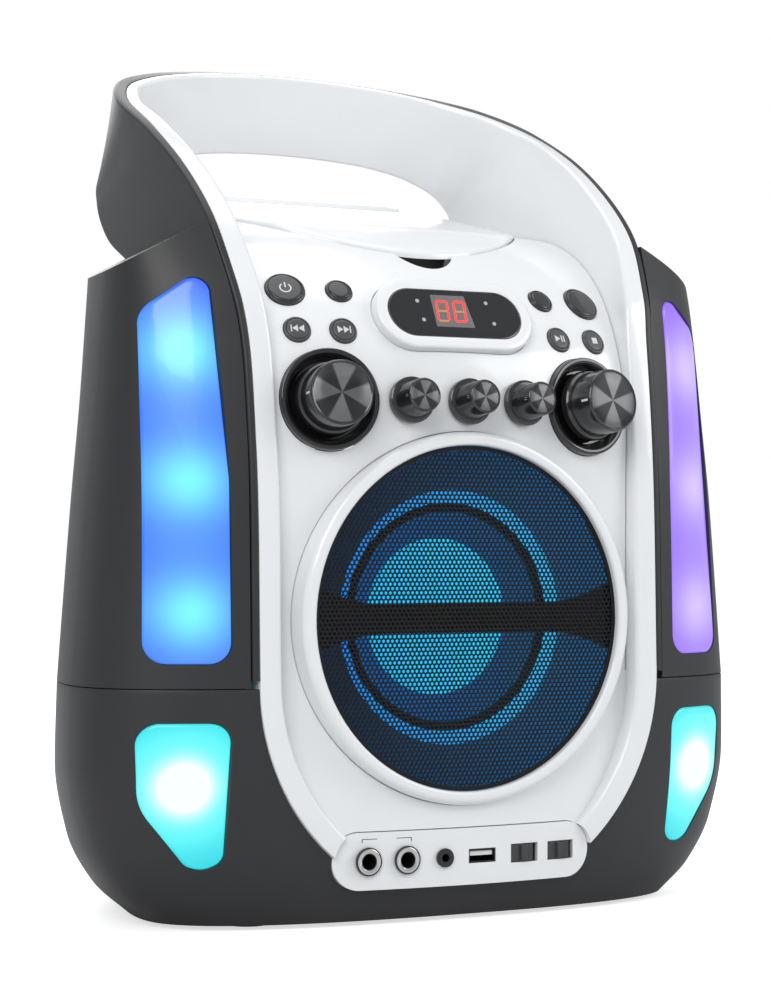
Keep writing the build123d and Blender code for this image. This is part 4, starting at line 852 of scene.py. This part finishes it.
surround = [(50.4, -24.0)]
surround += [(48.3 + 2.1 * cos(t), -24.0 + 2.6 * sin(t)) for t in np.linspace(0, pi, 14)]
surround += [(46.2, -25.0), (48.3, -24.6), (50.4, -25.0)]
driver_surround = turned("driver_surround", surround, speaker_plane, closed=True, count=128)
seat_ring = [(50.2, -23.4), (50.5, -22.9), (56.3, -22.6), (59.0, -23.6), (59.0, -24.6), (50.2, -24.6)]
driver_seat = turned("driver_seat", seat_ring, speaker_plane, closed=True, count=128)
cone_section = [(46.6, -24.0), (46.0, -24.35), (19.0, -45.7), (19.0, -46.9), (46.6, -25.2)]
driver_cone = turned("driver_cone", cone_section, speaker_plane, closed=True, count=128)
cap_section = [(34.9, -33.6), (34.6, -33.2)]
cap_section += [(34.2 * cos(t), -33.2 + 8.4 * sin(t)) for t in np.linspace(0.06, pi / 2 - 0.02, 22)]
cap_section = cap_section[::-1] + [(34.0, -34.0), (0.4, -34.0)]
driver_cap = turned("driver_cap", cap_section, speaker_plane, count=128)
# Painted light: the cone, the cap and the seat glow in the blue of the lens lamps on top of their own base colours; the
# roll is plain black.
cone_blue_painted_glow = lamplit("cone_blue_painted_glow", (0.01, 0.05, 0.14), 0.6, (0.0, 0.08, 0.34), (0.005, 0.08, 0.2), 1.0)
cap_cyan_painted_glow = lamplit("cap_cyan_painted_glow", (0.02, 0.2, 0.34), 0.5, (0.0, 0.42, 0.82), (0.01, 0.52, 0.8), 1.25)
roll_black = moulded("roll_black", (0.004, 0.005, 0.008), (0.008, 0.01, 0.014), 0.5, 0.0004, 0.2, 0.0)
seat_blue_painted_glow = lamplit("seat_blue_painted_glow", (0.02, 0.14, 0.3), 0.5, (0.0, 0.2, 0.75), (0.02, 0.46, 0.85), 1.1)
painted(driver_cone, cone_blue_painted_glow)
painted(driver_cap, cap_cyan_painted_glow)
painted(driver_surround, roll_black)
painted(driver_seat, seat_blue_painted_glow)
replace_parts(driver_cone, "speaker_cone")
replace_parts(driver_cap, "dust_cap")

# Volume dials: glossy black dishes let into the fascia round the two large knobs, moulded and polished in the
# tool so that they mirror the room.
gloss_black = moulded("gloss_black", (0.006, 0.006, 0.007), (0.01, 0.01, 0.011), 0.07, 0.0012, 0.03, 0.6)
dial_section = [(dial_radius, -2.6), (dial_radius, 1.5), (21.8, 1.85), (21.4, 2.0), (20.2, 2.0)]
dial_section += [(19.6, 1.8), (17.6, -1.4), (16.6, -2.4), (4.7, -2.6)]
for x, name in ((-volume_x, "left"), (volume_x, "right")):
    dial = turned(f"dial_{name}", dial_section, facing(x, knob_height), count=128)
    painted(dial, gloss_black)
    if name == "left":
        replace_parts(dial, "volume_dials")

# Knobs: moulded black caps with a spun metal disc let into the face and a pale mark on the side. The small
# ones stand on a collar. Each turns with the shaft of its potentiometer.
spun_inputs = [("Groove", "value", 0.0002), ("Dark", "colour", (0, 0, 0, 1)), ("Light", "colour", (1, 1, 1, 1))]
spun_group, given, result = new_group("spun_grooves_painted_wedges", spun_inputs, [("Colour", "colour"), ("Height", "value")])
spun_parts = object_parts(spun_group)
round_x = reckon(spun_group, "MULTIPLY", spun_parts.outputs["X"], spun_parts.outputs["X"])
round_y = reckon(spun_group, "MULTIPLY", spun_parts.outputs["Y"], spun_parts.outputs["Y"])
spun_radius = reckon(spun_group, "SQRT", reckon(spun_group, "ADD", round_x, round_y), 0)
spun_phase = reckon(spun_group, "MULTIPLY", spun_radius, 2 * pi)
spun_phase = reckon(spun_group, "DIVIDE", spun_phase, given.outputs["Groove"])
spun_group.links.new(reckon(spun_group, "SINE", spun_phase, 0), result.inputs["Height"])
# Painted reflection: the colour swings from dark to light in four wedges round the axis, standing in for the lamps
# mirrored in the spun face; the height is the real turned grooves.
spun_angle = reckon(spun_group, "ARCTAN2", spun_parts.outputs["Y"], spun_parts.outputs["X"])
painted_wedge = reckon(spun_group, "MULTIPLY", reckon(spun_group, "ADD", spun_angle, 0.5), 4.0)
painted_wedge = reckon(spun_group, "SINE", painted_wedge, 0)
painted_wedge = reckon(spun_group, "MULTIPLY", reckon(spun_group, "ADD", painted_wedge, 0.35), 2.2)
painted_wedge = reckon(spun_group, "MINIMUM", reckon(spun_group, "MAXIMUM", painted_wedge, 0.0), 1.0)
painted_wedge_colour = blend_colours(spun_group, painted_wedge, given.outputs["Dark"], given.outputs["Light"])
spun_group.links.new(painted_wedge_colour, result.inputs["Colour"])
spun_metal = new_material("spun_metal", roughness=0.32, metallic=1.0)
spun_metal["shader"].inputs["Anisotropic"].default_value = 0.85
tangent = spun_metal["nodes"].new("ShaderNodeTangent")
tangent.direction_type, tangent.axis = "RADIAL", "Z"
spun_metal["links"].new(tangent.outputs[0], spun_metal["shader"].inputs["Tangent"])
# The dark and the light of the painted reflection wedges, and the pitch of the grooves.
spun_values = {"Groove": 0.00022, "Dark": (0.05, 0.05, 0.053, 1), "Light": (0.2, 0.2, 0.205, 1)}
spun_grooves_painted_wedges = place_group(spun_metal, spun_group, spun_values)
join(spun_metal, spun_grooves_painted_wedges.outputs["Colour"], "Base Color")
join_bump(spun_metal, spun_grooves_painted_wedges.outputs["Height"], 0.25, 0.00003)
knob_black = moulded("knob_black", (0.012, 0.012, 0.013), (0.02, 0.02, 0.021), 0.16, 0.0002, 0.02, 0.5)
mark_white = moulded("mark_white", (0.72, 0.72, 0.72), (0.6, 0.6, 0.6), 0.4, 0.0002, 0.05, 0.0)
volume_reach, tone_reach = 18.35, 16.6
volume_cap = [(12.6, 18.25), (12.9, 18.5), (13.3, 18.6), (13.8, 18.3), (14.0, 17.8)]
volume_cap += [(14.35, 6.0), (14.5, 5.2), (15.4, 4.4), (15.8, 1.6), (3.0, 1.4)]
tone_cap = [(6.3, 16.5), (6.55, 16.7), (6.8, 16.8), (7.2, 16.6), (7.4, 16.2), (7.75, 5.0), (8.1, 4.5)]
tone_cap += [(9.6, 4.4), (10.1, 4.0), (10.2, 3.2), (10.2, 1.4), (3.0, 1.4)]
knobs = {
    "mic_volume": (-volume_x, volume_cap, 12.6, volume_reach, "mic_volume_control"),
    "master_volume": (volume_x, volume_cap, 12.6, volume_reach, "master_volume_control"),
    "echo": (tone_x[0], tone_cap, 6.3, tone_reach, "echo_control"),
    "talk_over": (tone_x[1], tone_cap, 6.3, tone_reach, "talk_over_control"),
    "balance": (tone_x[2], tone_cap, 6.3, tone_reach, "balance_control"),
}
for name, (x, section, disc, reach, body) in knobs.items():
    spot = facing(x, knob_height)
    cap = turned(f"{name}_cap", section, spot, count=112, body=body, local=True)
    painted(cap, knob_black)
    face = [(disc, reach - 0.4), (disc, reach - 0.1), (disc - 0.15, reach)]
    face += [(disc * 0.5, reach - 0.05), (0.02, reach - 0.1)]
    disc_piece = turned(f"{name}_disc", face, spot, count=112, body=body, local=True)
    painted(disc_piece, spun_metal["material"])
    origin, across, up, outward = spot
    side_radius = section[4][0]
    mark_points = []
    for turn in (-0.035 * 14 / side_radius, 0.035 * 14 / side_radius):
        for share, rise in ((1.004, reach - 1.2), (1.012, reach - 3.0), (1.018, reach - 5.2)):
            arm = -across * cos(turn) + up * sin(turn)
            mark_points.append(tuple(origin + arm * (side_radius * share) + outward * rise))
    mark = new_piece(f"{name}_mark", mark_points, [(0, 1, 4, 3), (1, 2, 5, 4)], body)
    painted(mark, mark_white)
    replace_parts(cap, f"{name}_knob")

# Display: a raised white pod, a smoked window with a thin bright trim, and behind it two red seven-segment
# numerals on their block and four small lamps.
window_width, window_height = 66.0, 24.0
pod_rows = [(0.0, -9.0), (0.0, 1.4), (0.15, 2.1), (0.5, 2.7), (1.1, 3.0), (5.3, 3.0), (5.55, 2.9)]
pod_rows += [(5.7, 2.6), (5.7, -2.0), (4.0, -9.0)]
pod_origin, pod_across, pod_up, pod_outward = display_facing()


def on_display(outline, rise):
    return [tuple(pod_origin + pod_across * a + pod_up * b + pod_outward * rise) for a, b in outline]


def display_loops(rows, width, height):
    return [on_display(stadium(width - 2 * inset, height - 2 * inset), rise) for inset, rise in rows]


pod_loops = display_loops(pod_rows, pod_width, pod_height)
pod = lofted("pod_skin", pod_loops + pod_loops[:1], capped=False)
painted(pod, gloss_white)
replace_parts(smoothed(pod, 45), "display_pod")
glass_rows = [(0.0, 0.6), (0.0, 2.3), (0.15, 2.5), (0.5, 2.6)]
glass_rows += [(share, 2.6) for share in (3.0, 6.0, 9.0, 11.5)]
glass = lofted("window_glass", display_loops(glass_rows, window_width, window_height))
smoked = moulded("smoked_window", (0.006, 0.006, 0.007), (0.012, 0.012, 0.013), 0.06, 0.0004, 0.0, 0.4)
painted(glass, smoked)
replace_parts(smoothed(glass, 30), "display_window")
trim_rows = [(-0.1, 2.1), (-0.1, 2.85), (0.15, 3.0), (0.5, 2.85), (0.6, 2.1)]
trim_loops = display_loops(trim_rows, window_width, window_height)
trim = smoothed(lofted("window_trim", trim_loops, capped=False), 60)
bright_trim = moulded("bright_trim", (0.03, 0.03, 0.032), (0.06, 0.06, 0.063), 0.12, 0.0003, 0.0, 0.5)
painted(trim, bright_trim)

block_loop = rounded([(-10.6, -6.6), (8.6, -6.6), (6.4, 9.4), (-10.6, 9.4)], (0.3,) * 4, steps=2)
block = new_piece("numeral_block", on_display(block_loop, 2.66), [tuple(range(len(block_loop)))])
block_paint = moulded("numeral_block_paint", (0.13, 0.12, 0.12), (0.2, 0.19, 0.19), 0.25, 0.004, 0.0, 0.3)
painted(block, block_paint)
glow_red = new_material("numeral_red", colour=(0.6, 0.02, 0.02), roughness=0.35)
glow_red["shader"].inputs["Emission Color"].default_value = (1.0, 0.035, 0.03, 1)
glow_red["shader"].inputs["Emission Strength"].default_value = 1.6
dim_amber = moulded("numeral_dim", (0.62, 0.3, 0.1), (0.5, 0.24, 0.08), 0.35, 0.001, 0.0, 0.0)
segments = {
    "a": (0.0, 5.0, True), "g": (0.0, 0.0, True), "d": (0.0, -5.0, True),
    "f": (-2.6, 2.5, False), "b": (2.6, 2.5, False), "e": (-2.6, -2.5, False), "c": (2.6, -2.5, False),
}
for digit, (left, lit) in enumerate(((-6.0, "abcef"), (2.6, "abcdef"))):
    for letter, (a, b, flat) in segments.items():
        long_half, wide = (2.1, 0.55) if flat else (2.05, 0.55)
        bar = [(-long_half - 0.3, 0), (-long_half, wide), (long_half, wide)]
        bar += [(long_half + 0.3, 0), (long_half, -wide), (-long_half, -wide)]
        bar = bar if flat else [(-v, u) for u, v in bar]
        bar = [(left + a + u + 0.07 * (b + v), 1.3 + b + v) for u, v in bar]
        segment = new_piece(f"numeral_{digit}_{letter}", on_display(bar, 2.72), [tuple(range(6))])
        painted(segment, glow_red["material"] if letter in lit else dim_amber)
lamp_pale = moulded("indicator_pale", (0.5, 0.5, 0.5), (0.36, 0.36, 0.36), 0.3, 0.001, 0.0, 0.2)
for number, (a, b) in enumerate(((-17.6, 6.0), (-16.4, -3.4), (17.0, 6.4), (18.8, -4.0))):
    ring = circle_outline(0.95, (a, b), 24)
    indicator = new_piece(f"indicator_{number}", on_display(ring, 2.66), [tuple(range(24))])
    painted(indicator, lamp_pale)

# Buttons: turned-edge caps of dark plastic, each in its own hole, with a light symbol printed on five of them.
button_black = moulded("button_black", (0.012, 0.012, 0.013), (0.018, 0.018, 0.02), 0.22, 0.0002, 0.05, 0.5)
button_grey = moulded("button_grey", (0.055, 0.055, 0.058), (0.08, 0.08, 0.083), 0.34, 0.0002, 0.1, 0.1)
symbol_ink = moulded("symbol_ink", (0.68, 0.68, 0.69), (0.6, 0.6, 0.6), 0.45, 0.0003, 0.05, 0.0)


def triangle(left, right, half):
    return [(left, half), (right, 0), (left, -half)] if right > left else [(left, half), (left, -half), (right, 0)]


def bar_shape(left, right, half):
    return [(left, half), (right, half), (right, -half), (left, -half)]


power_arc = []
for radius in (2.75, 2.1):
    arc = [(radius * sin(t), radius * cos(t)) for t in np.linspace(0.62, 2 * pi - 0.62, 30)]
    power_arc += arc if radius > 2.5 else arc[::-1]
symbols = {
    "power": [power_arc, bar_shape(-0.33, 0.33, 0.0)],
    "previous": [bar_shape(-3.1, -2.55, 1.7), triangle(0.1, -2.4, 1.7), triangle(2.9, 0.3, 1.7)],
    "next": [triangle(-2.9, -0.3, 1.7), triangle(-0.1, 2.4, 1.7), bar_shape(2.55, 3.1, 1.7)],
    "play": [triangle(-2.8, 0.1, 1.6), bar_shape(0.55, 1.2, 1.6), bar_shape(1.8, 2.45, 1.6)],
    "stop": [bar_shape(-1.5, 1.5, 1.5)],
}
symbols["power"][1] = [(-0.33, 3.2), (0.33, 3.2), (0.33, 0.2), (-0.33, 0.2)]
for name, (x, height, radius) in buttons.items():
    spot = facing(x, height)
    groove = radius - 0.75
    section = [(radius, -5.0), (radius, 0.5), (radius - 0.12, 0.85), (radius - 0.4, 1.05)]
    section += [(groove, 1.05), (groove - 0.12, 0.75)]
    section += [(groove - 0.3, 0.75), (groove - 0.42, 1.1), (groove - 0.8, 1.34), (groove - 1.6, 1.4), (0.05, 1.4)]
    cap = turned(f"{name}_cap", section, spot, count=96, body=name, local=True)
    painted(cap, button_grey if radius < 7 and name in symbols else button_black)
    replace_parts(cap, f"{name}_button")
    origin, across, up, outward = spot
    for number, shape in enumerate(symbols.get(name, [])):
        points = [tuple(origin + across * a + up * b + outward * 1.43) for a, b in shape]
        if number == 0 and name == "power":
            half = len(points) // 2
            faces = [(k, k + 1, 2 * half - 2 - k, 2 * half - 1 - k) for k in range(half - 1)]
        else:
            faces = [tuple(range(len(points)))]
        symbol = new_piece(f"{name}_symbol_{number}", points, faces, name)
        painted(symbol, symbol_ink)

# Lenses: translucent blue mouldings that fill the windows of the housing, with clusters of lamps behind them
# that show as soft bright spots.
glow_inputs = [("Top", "value", 0.245), ("Middle", "value", 0.19), ("Low", "value", 0.135)]
glow_inputs += [("Spread", "value", 0.03), ("Aside", "value", 0.126)]
glow_group, given, result = new_group("lamp_glow", glow_inputs, [("Glow", "value"), ("Core", "value")])
glow_parts = object_parts(glow_group)
aside = reckon(glow_group, "ABSOLUTE", glow_parts.outputs["X"], 0)
aside = reckon(glow_group, "SUBTRACT", aside, given.outputs["Aside"])
aside = reckon(glow_group, "MULTIPLY", aside, aside)
wide = reckon(glow_group, "MULTIPLY", given.outputs["Spread"], given.outputs["Spread"])
total, core = None, None
for level in ("Top", "Middle", "Low"):
    rise = reckon(glow_group, "SUBTRACT", glow_parts.outputs["Z"], given.outputs[level])
    far = reckon(glow_group, "ADD", reckon(glow_group, "MULTIPLY", rise, rise), aside)
    far = reckon(glow_group, "DIVIDE", far, wide)
    spot = reckon(glow_group, "POWER", 2.718, reckon(glow_group, "MULTIPLY", far, -1.0))
    hot = reckon(glow_group, "POWER", 2.718, reckon(glow_group, "MULTIPLY", far, -5.0))
    total = spot if total is None else reckon(glow_group, "ADD", total, spot)
    core = hot if core is None else reckon(glow_group, "ADD", core, hot)
glow_group.links.new(reckon(glow_group, "MINIMUM", total, 1.0), result.inputs["Glow"])
glow_group.links.new(reckon(glow_group, "MINIMUM", core, 1.0), result.inputs["Core"])


def lit_lens(name, heights, spread, aside, edge, glow, hot, strength):
    # Emission that runs from an edge colour through the glow to the hot core over each lamp
    made = new_material(name, [value * 0.12 for value in edge], 0.28, 0.0, 0.35)
    values = {"Top": heights[0], "Middle": heights[1], "Low": heights[2], "Spread": spread, "Aside": aside}
    lamps = place_group(made, glow_group, values)
    shade = made["nodes"].new("ShaderNodeMix")
    shade.data_type = "RGBA"
    shade.inputs[6].default_value, shade.inputs[7].default_value = (*edge, 1), (*glow, 1)
    made["links"].new(lamps.outputs["Glow"], shade.inputs[0])
    tip = made["nodes"].new("ShaderNodeMix")
    tip.data_type = "RGBA"
    tip.inputs[7].default_value = (*hot, 1)
    made["links"].new(lamps.outputs["Core"], tip.inputs[0])
    made["links"].new(shade.outputs[2], tip.inputs[6])
    made["links"].new(tip.outputs[2], made["shader"].inputs["Emission Color"])
    made["shader"].inputs["Emission Strength"].default_value = strength
    return made["material"]


side_lamps, base_lamps = (0.245, 0.19, 0.135), (0.062, 0.062, 0.062)
violet_blue, sky, bright_cyan = (0.02, 0.06, 0.93), (0.12, 0.44, 1.0), (0.2, 0.95, 1.0)
violet, mauve, lilac = (0.24, 0.08, 0.93), (0.44, 0.31, 1.0), (0.68, 0.54, 1.0)
lens_paint = {
    ("side", "left"): lit_lens("lens_side_left", side_lamps, 0.026, 0.126, violet_blue, sky, bright_cyan, 1.0),
    ("side", "right"): lit_lens("lens_side_right", side_lamps, 0.027, 0.128, violet, mauve, lilac, 0.97),
    ("base", "left"): lit_lens(
        "lens_base_left", base_lamps, 0.021, 0.128, (0.01, 0.62, 0.72), (0.1, 0.9, 0.92), (0.96, 1.0, 1.0), 0.97
    ),
    ("base", "right"): lit_lens(
        "lens_base_right", base_lamps, 0.022, 0.128, (0.01, 0.64, 0.72), (0.12, 0.92, 0.93), (0.94, 1.0, 1.0), 0.97
    ),
}


def housing_front(levels, x, height):
    half_width, ahead, behind = between(levels, height)
    share = min(0.9999, abs(x) / half_width)
    return widest_depth - ahead * (1 - share**2.6) ** (1 / 2.6)


lens_rows = [(1.0, 0.0, 3.2), (1.0, 0.0, 1.3), (1.0, 0.12, 0.85), (1.0, 0.45, 0.5), (1.0, 1.0, 0.3), (1.0, 1.8, 0.22)]
lens_rows += [(share, 0.0, 0.2) for share in (0.93, 0.86, 0.78, 0.7, 0.62, 0.54, 0.46, 0.38, 0.3, 0.22, 0.14, 0.06)]
lens_kinds = (("side", upper_levels, side_lens_path), ("base", base_levels, base_lens_path))
for kind, levels, path in lens_kinds:
    path = np.array(path)
    centre = path.mean(0)
    for side, name in ((-1, "left"), (1, "right")):
        loops = []
        for share, inset, sink in lens_rows:
            loop = grown(path, -inset) if inset else path
            loop = centre + (loop - centre) * share
            loops.append([(side * x, housing_front(levels, x, z) + sink, z) for x, z in loop])
        window = smoothed(lofted(f"{kind}_window_{name}", loops), 60)
        painted(window, lens_paint[kind, name])
        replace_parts(window, f"{kind}_lens_{name}")

# Rear cover: the black moulded back of the machine, from the floor to a neck under the handle, with two
# columns of cooling slots and the mains inlet. Six screws in sunk holes hold it to posts inside.
cover_top = 290.0
rear_cover = housing_block(base_levels, 2.0, 103.0, rows=44, edge=0.7)
rear_cover.name = "rear_skin"
carved(rear_cover, housing_block(base_levels, 5.0, 110.0, housing_wall, rows=26))
carved(rear_cover, slab_cutter((-200, -20, -10), (200, cover_seam + seam_gap, 120)))
inlet_hole = [(-55.8, 31.2), (-34.2, 31.2), (-34.2, 44.8), (-55.8, 44.8)]
carved(rear_cover, front_cutter(inlet_hole, 190, 220))
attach(smoothed(rear_cover), "case")
painted(rear_cover, satin_black)

rear_upper = housing_block(upper_levels, 103.0, cover_top, rows=70, edge=1.2)
rear_upper.name = "rear_upper_skin"
rear_hollow = housing_block(upper_levels, 100.0, cover_top - housing_wall, housing_wall, rows=40)
for side in (-1, 1):
    carved(rear_upper, shoulder_cutter(side))
    carved(rear_hollow, shoulder_cutter(side, housing_wall))
carved(rear_upper, rear_hollow)
carved(rear_upper, slab_cutter((-200, -20, 90), (200, cover_seam + seam_gap, 320)))
carved(rear_upper, slab_cutter((-76, 120, 280), (76, 188, 300)))
for column in (-26, 26):
    for row in range(-4, 5):
        low, high = 218.5 + row * 8, 221.5 + row * 8
        slot = [(column - 20, low), (column + 20, low), (column + 20, high), (column - 20, high)]
        slot = rounded(slot, (1.4,) * 4, steps=3)
        carved(rear_upper, front_cutter(slot, 190, 220))
screw_spots = [(-80, 24), (80, 24), (-68, 118), (68, 118), (-66, 272), (66, 272)]
for x, z in screw_spots:
    carved(rear_upper if z > 103 else rear_cover, front_cutter(circle_outline(4.6, (x, z), 40), 150, 220))
carved(rear_upper, arch_shell("cutter", (0, 0, -4), (0, 1, seam_gap), (0, 0, 0, 0), 4, 2, None))
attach(smoothed(rear_upper), "case")
painted(rear_upper, satin_black)
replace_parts(rear_upper, "rear_cover")

neck_corners = [(-84, 150.3), (84, 150.3), (84, 186.5), (62, 199), (-62, 199), (-84, 186.5)]
neck_outline = rounded(neck_corners, (0.5, 0.5, 8, 20, 20, 8))
neck_loops = []
for inset, height in ((0, 287.5), (0, 327.6), (0.2, 328.3), (0.7, 328.8), (1.4, 329.0)):
    outline = grown(neck_outline, -inset) if inset else neck_outline
    neck_loops.append([(x, depth, height) for x, depth in outline])
neck = lofted("rear_neck", neck_loops, body=None)
carved(neck, slab_cutter((-76, 140, 280), (76, 188, 326)))
carved(neck, slab_cutter((-90, 140, 280), (90, deck_rear + 0.4, 340)))
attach(smoothed(neck), "case")
painted(neck, satin_black)


def rear_depth(x, height):
    ring = plan_ring(base_levels if height < 103 else upper_levels, height, 0.0)
    return max((depth for px, depth, z in ring if abs(px - x) < 2.0), default=203.0)


screw_steel = moulded("screw_steel", (0.05, 0.05, 0.052), (0.09, 0.09, 0.092), 0.3, 0.0003, 0.1, 0.0, 0.9)
head_section = [(3.1, -4.0), (3.1, -3.2), (2.6, -2.6), (1.4, -2.3), (0.05, -2.25)]
slit, reach = 0.32, 1.7
cross_outline = [(slit, slit), (slit, reach), (-slit, reach), (-slit, slit), (-reach, slit), (-reach, -slit)]
cross_outline += [(-slit, -slit), (-slit, -reach), (slit, -reach), (slit, -slit), (reach, -slit), (reach, slit)]
for number, (x, z) in enumerate(screw_spots):
    back = rear_depth(x, z)
    plane = (Vector((x, back, z)), Vector((-1, 0, 0)), Vector((0, 0, 1)), Vector((0, 1, 0)))
    well = turned(f"screw_well_{number}", [(4.55, -0.6), (4.45, -3.6), (1.6, -3.9)], plane, closed=False, count=40)
    painted(well, satin_black)
    head = turned(f"screw_head_{number}", head_section, plane, count=40)
    carved(head, pulled(plane, cross_outline, -3.2, -1.5))
    painted(head, screw_steel)

# Sockets, switches and the parts inside the case: the forms of the CAD model are the real ones, so they get
# their finish: nickel, stamped tin, board lacquer, iron, rubber and ferrite. The microphone sockets have a
# spun ring and printed brackets, and the USB socket has a pale tongue.


def plate_front(x):
    return 3.4 + bow_radius - sqrt(bow_radius**2 - x * x)


nickel = moulded("nickel", (0.62, 0.61, 0.59), (0.72, 0.71, 0.69), 0.16, 0.0004, 0.05, 0.0, 1.0)
stamped_tin = moulded("stamped_tin", (0.5, 0.5, 0.5), (0.62, 0.62, 0.61), 0.26, 0.0005, 0.1, 0.0, 1.0)
board_green = moulded("board_green", (0.008, 0.085, 0.035), (0.012, 0.12, 0.05), 0.35, 0.0012, 0.2, 0.3)
iron_core = moulded("iron_core", (0.16, 0.15, 0.14), (0.24, 0.21, 0.18), 0.5, 0.0005, 0.4, 0.0, 0.6)
foot_rubber = moulded("foot_rubber", (0.02, 0.02, 0.02), (0.032, 0.031, 0.03), 0.8, 0.0006, 0.6, 0.0)
ferrite = moulded("ferrite", (0.03, 0.03, 0.032), (0.05, 0.05, 0.05), 0.65, 0.0008, 0.5, 0.0)
shaft_steel = moulded("shaft_steel", (0.45, 0.45, 0.45), (0.55, 0.55, 0.55), 0.2, 0.0004, 0.05, 0.0, 1.0)
switch_black = moulded("switch_black", (0.036, 0.036, 0.037), (0.055, 0.055, 0.056), 0.36, 0.0003, 0.2, 0.0)
bar_black = moulded("bar_black", (0.006, 0.006, 0.007), (0.01, 0.01, 0.011), 0.3, 0.0004, 0.1, 0.2)
ring_section = [(3.35, 0.5), (3.35, 0.98), (3.75, 1.14), (4.8, 1.3), (5.2, 1.32), (5.45, 1.2), (5.5, 0.97)]
mic_jack_x, ring_radius, usb_x = (-48.0, -30.1), 6.1, 6.9
for number, x in enumerate(mic_jack_x):
    front = plate_front(abs(x) - ring_radius) - 0.1
    plane = (Vector((x, front, plate_centre)), Vector((1, 0, 0)), Vector((0, 0, 1)), Vector((0, -1, 0)))
    jack_ring = turned(f"mic_ring_{number}", ring_section, plane, closed=True, count=64)
    painted(jack_ring, nickel)
tongue = slab_cutter((1.3, plate_front(usb_x) + 1.35, plate_centre), (12.5, 14.5, plate_centre + 1.95))
tongue.name = "usb_tongue"
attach(tongue, "case")
tongue_white = moulded("tongue_white", (0.75, 0.75, 0.74), (0.68, 0.68, 0.67), 0.4, 0.0005, 0.1, 0.0)
painted(tongue, tongue_white)
print_grey = moulded("print_grey", (0.03, 0.03, 0.032), (0.05, 0.05, 0.052), 0.5, 0.0004, 0.1, 0.0)
brackets = [(-50.6, -50.2, 36.2, 37.9), (-50.6, -43.6, 37.6, 37.9)]
brackets += [(-34.6, -27.6, 37.6, 37.9), (-28.0, -27.6, 36.2, 37.9)]
for number, (left, right, low, high) in enumerate(brackets):
    spots = [(left, low), (right, low), (right, high), (left, high)]
    points = [(x, plate_front(x) - 0.04, z) for x, z in spots]
    bracket = new_piece(f"socket_bracket_{number}", points, [(0, 1, 2, 3)])
    painted(bracket, print_grey)

finishes = {
    stamped_tin: ("speaker_basket", "laser_sled"),
    board_green: ("jack_board", "control_board", "main_board", "light_board_left", "light_board_right"),
    iron_core: ("transformer",),
    foot_rubber: ("feet",),
    ferrite: ("speaker_magnet",),
    shaft_steel: ("sled_rails", "lid_hinge_pins", "spindle_motor", "potentiometers"),
    switch_black: ("function_switch", "light_switch", "power_inlet", "display_module"),
    bar_black: ("grille_bar", "aux_jack", "mic_jack_left", "mic_jack_right", "usb_port"),
    gloss_black: ("turntable",),
    satin_black: ("disc_well",),
    gloss_white: ("jack_plate",),
}
for finish, names in finishes.items():
    for name in names:
        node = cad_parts[name]
        node.data.materials.clear()
        painted(node, finish)
        smoothed(node, 32)
        edge = node.modifiers.new("edge", "BEVEL")
        edge.width, edge.segments = 0.00025, 2
        edge.limit_method, edge.angle_limit = "ANGLE", radians(32)
        edge.harden_normals = True
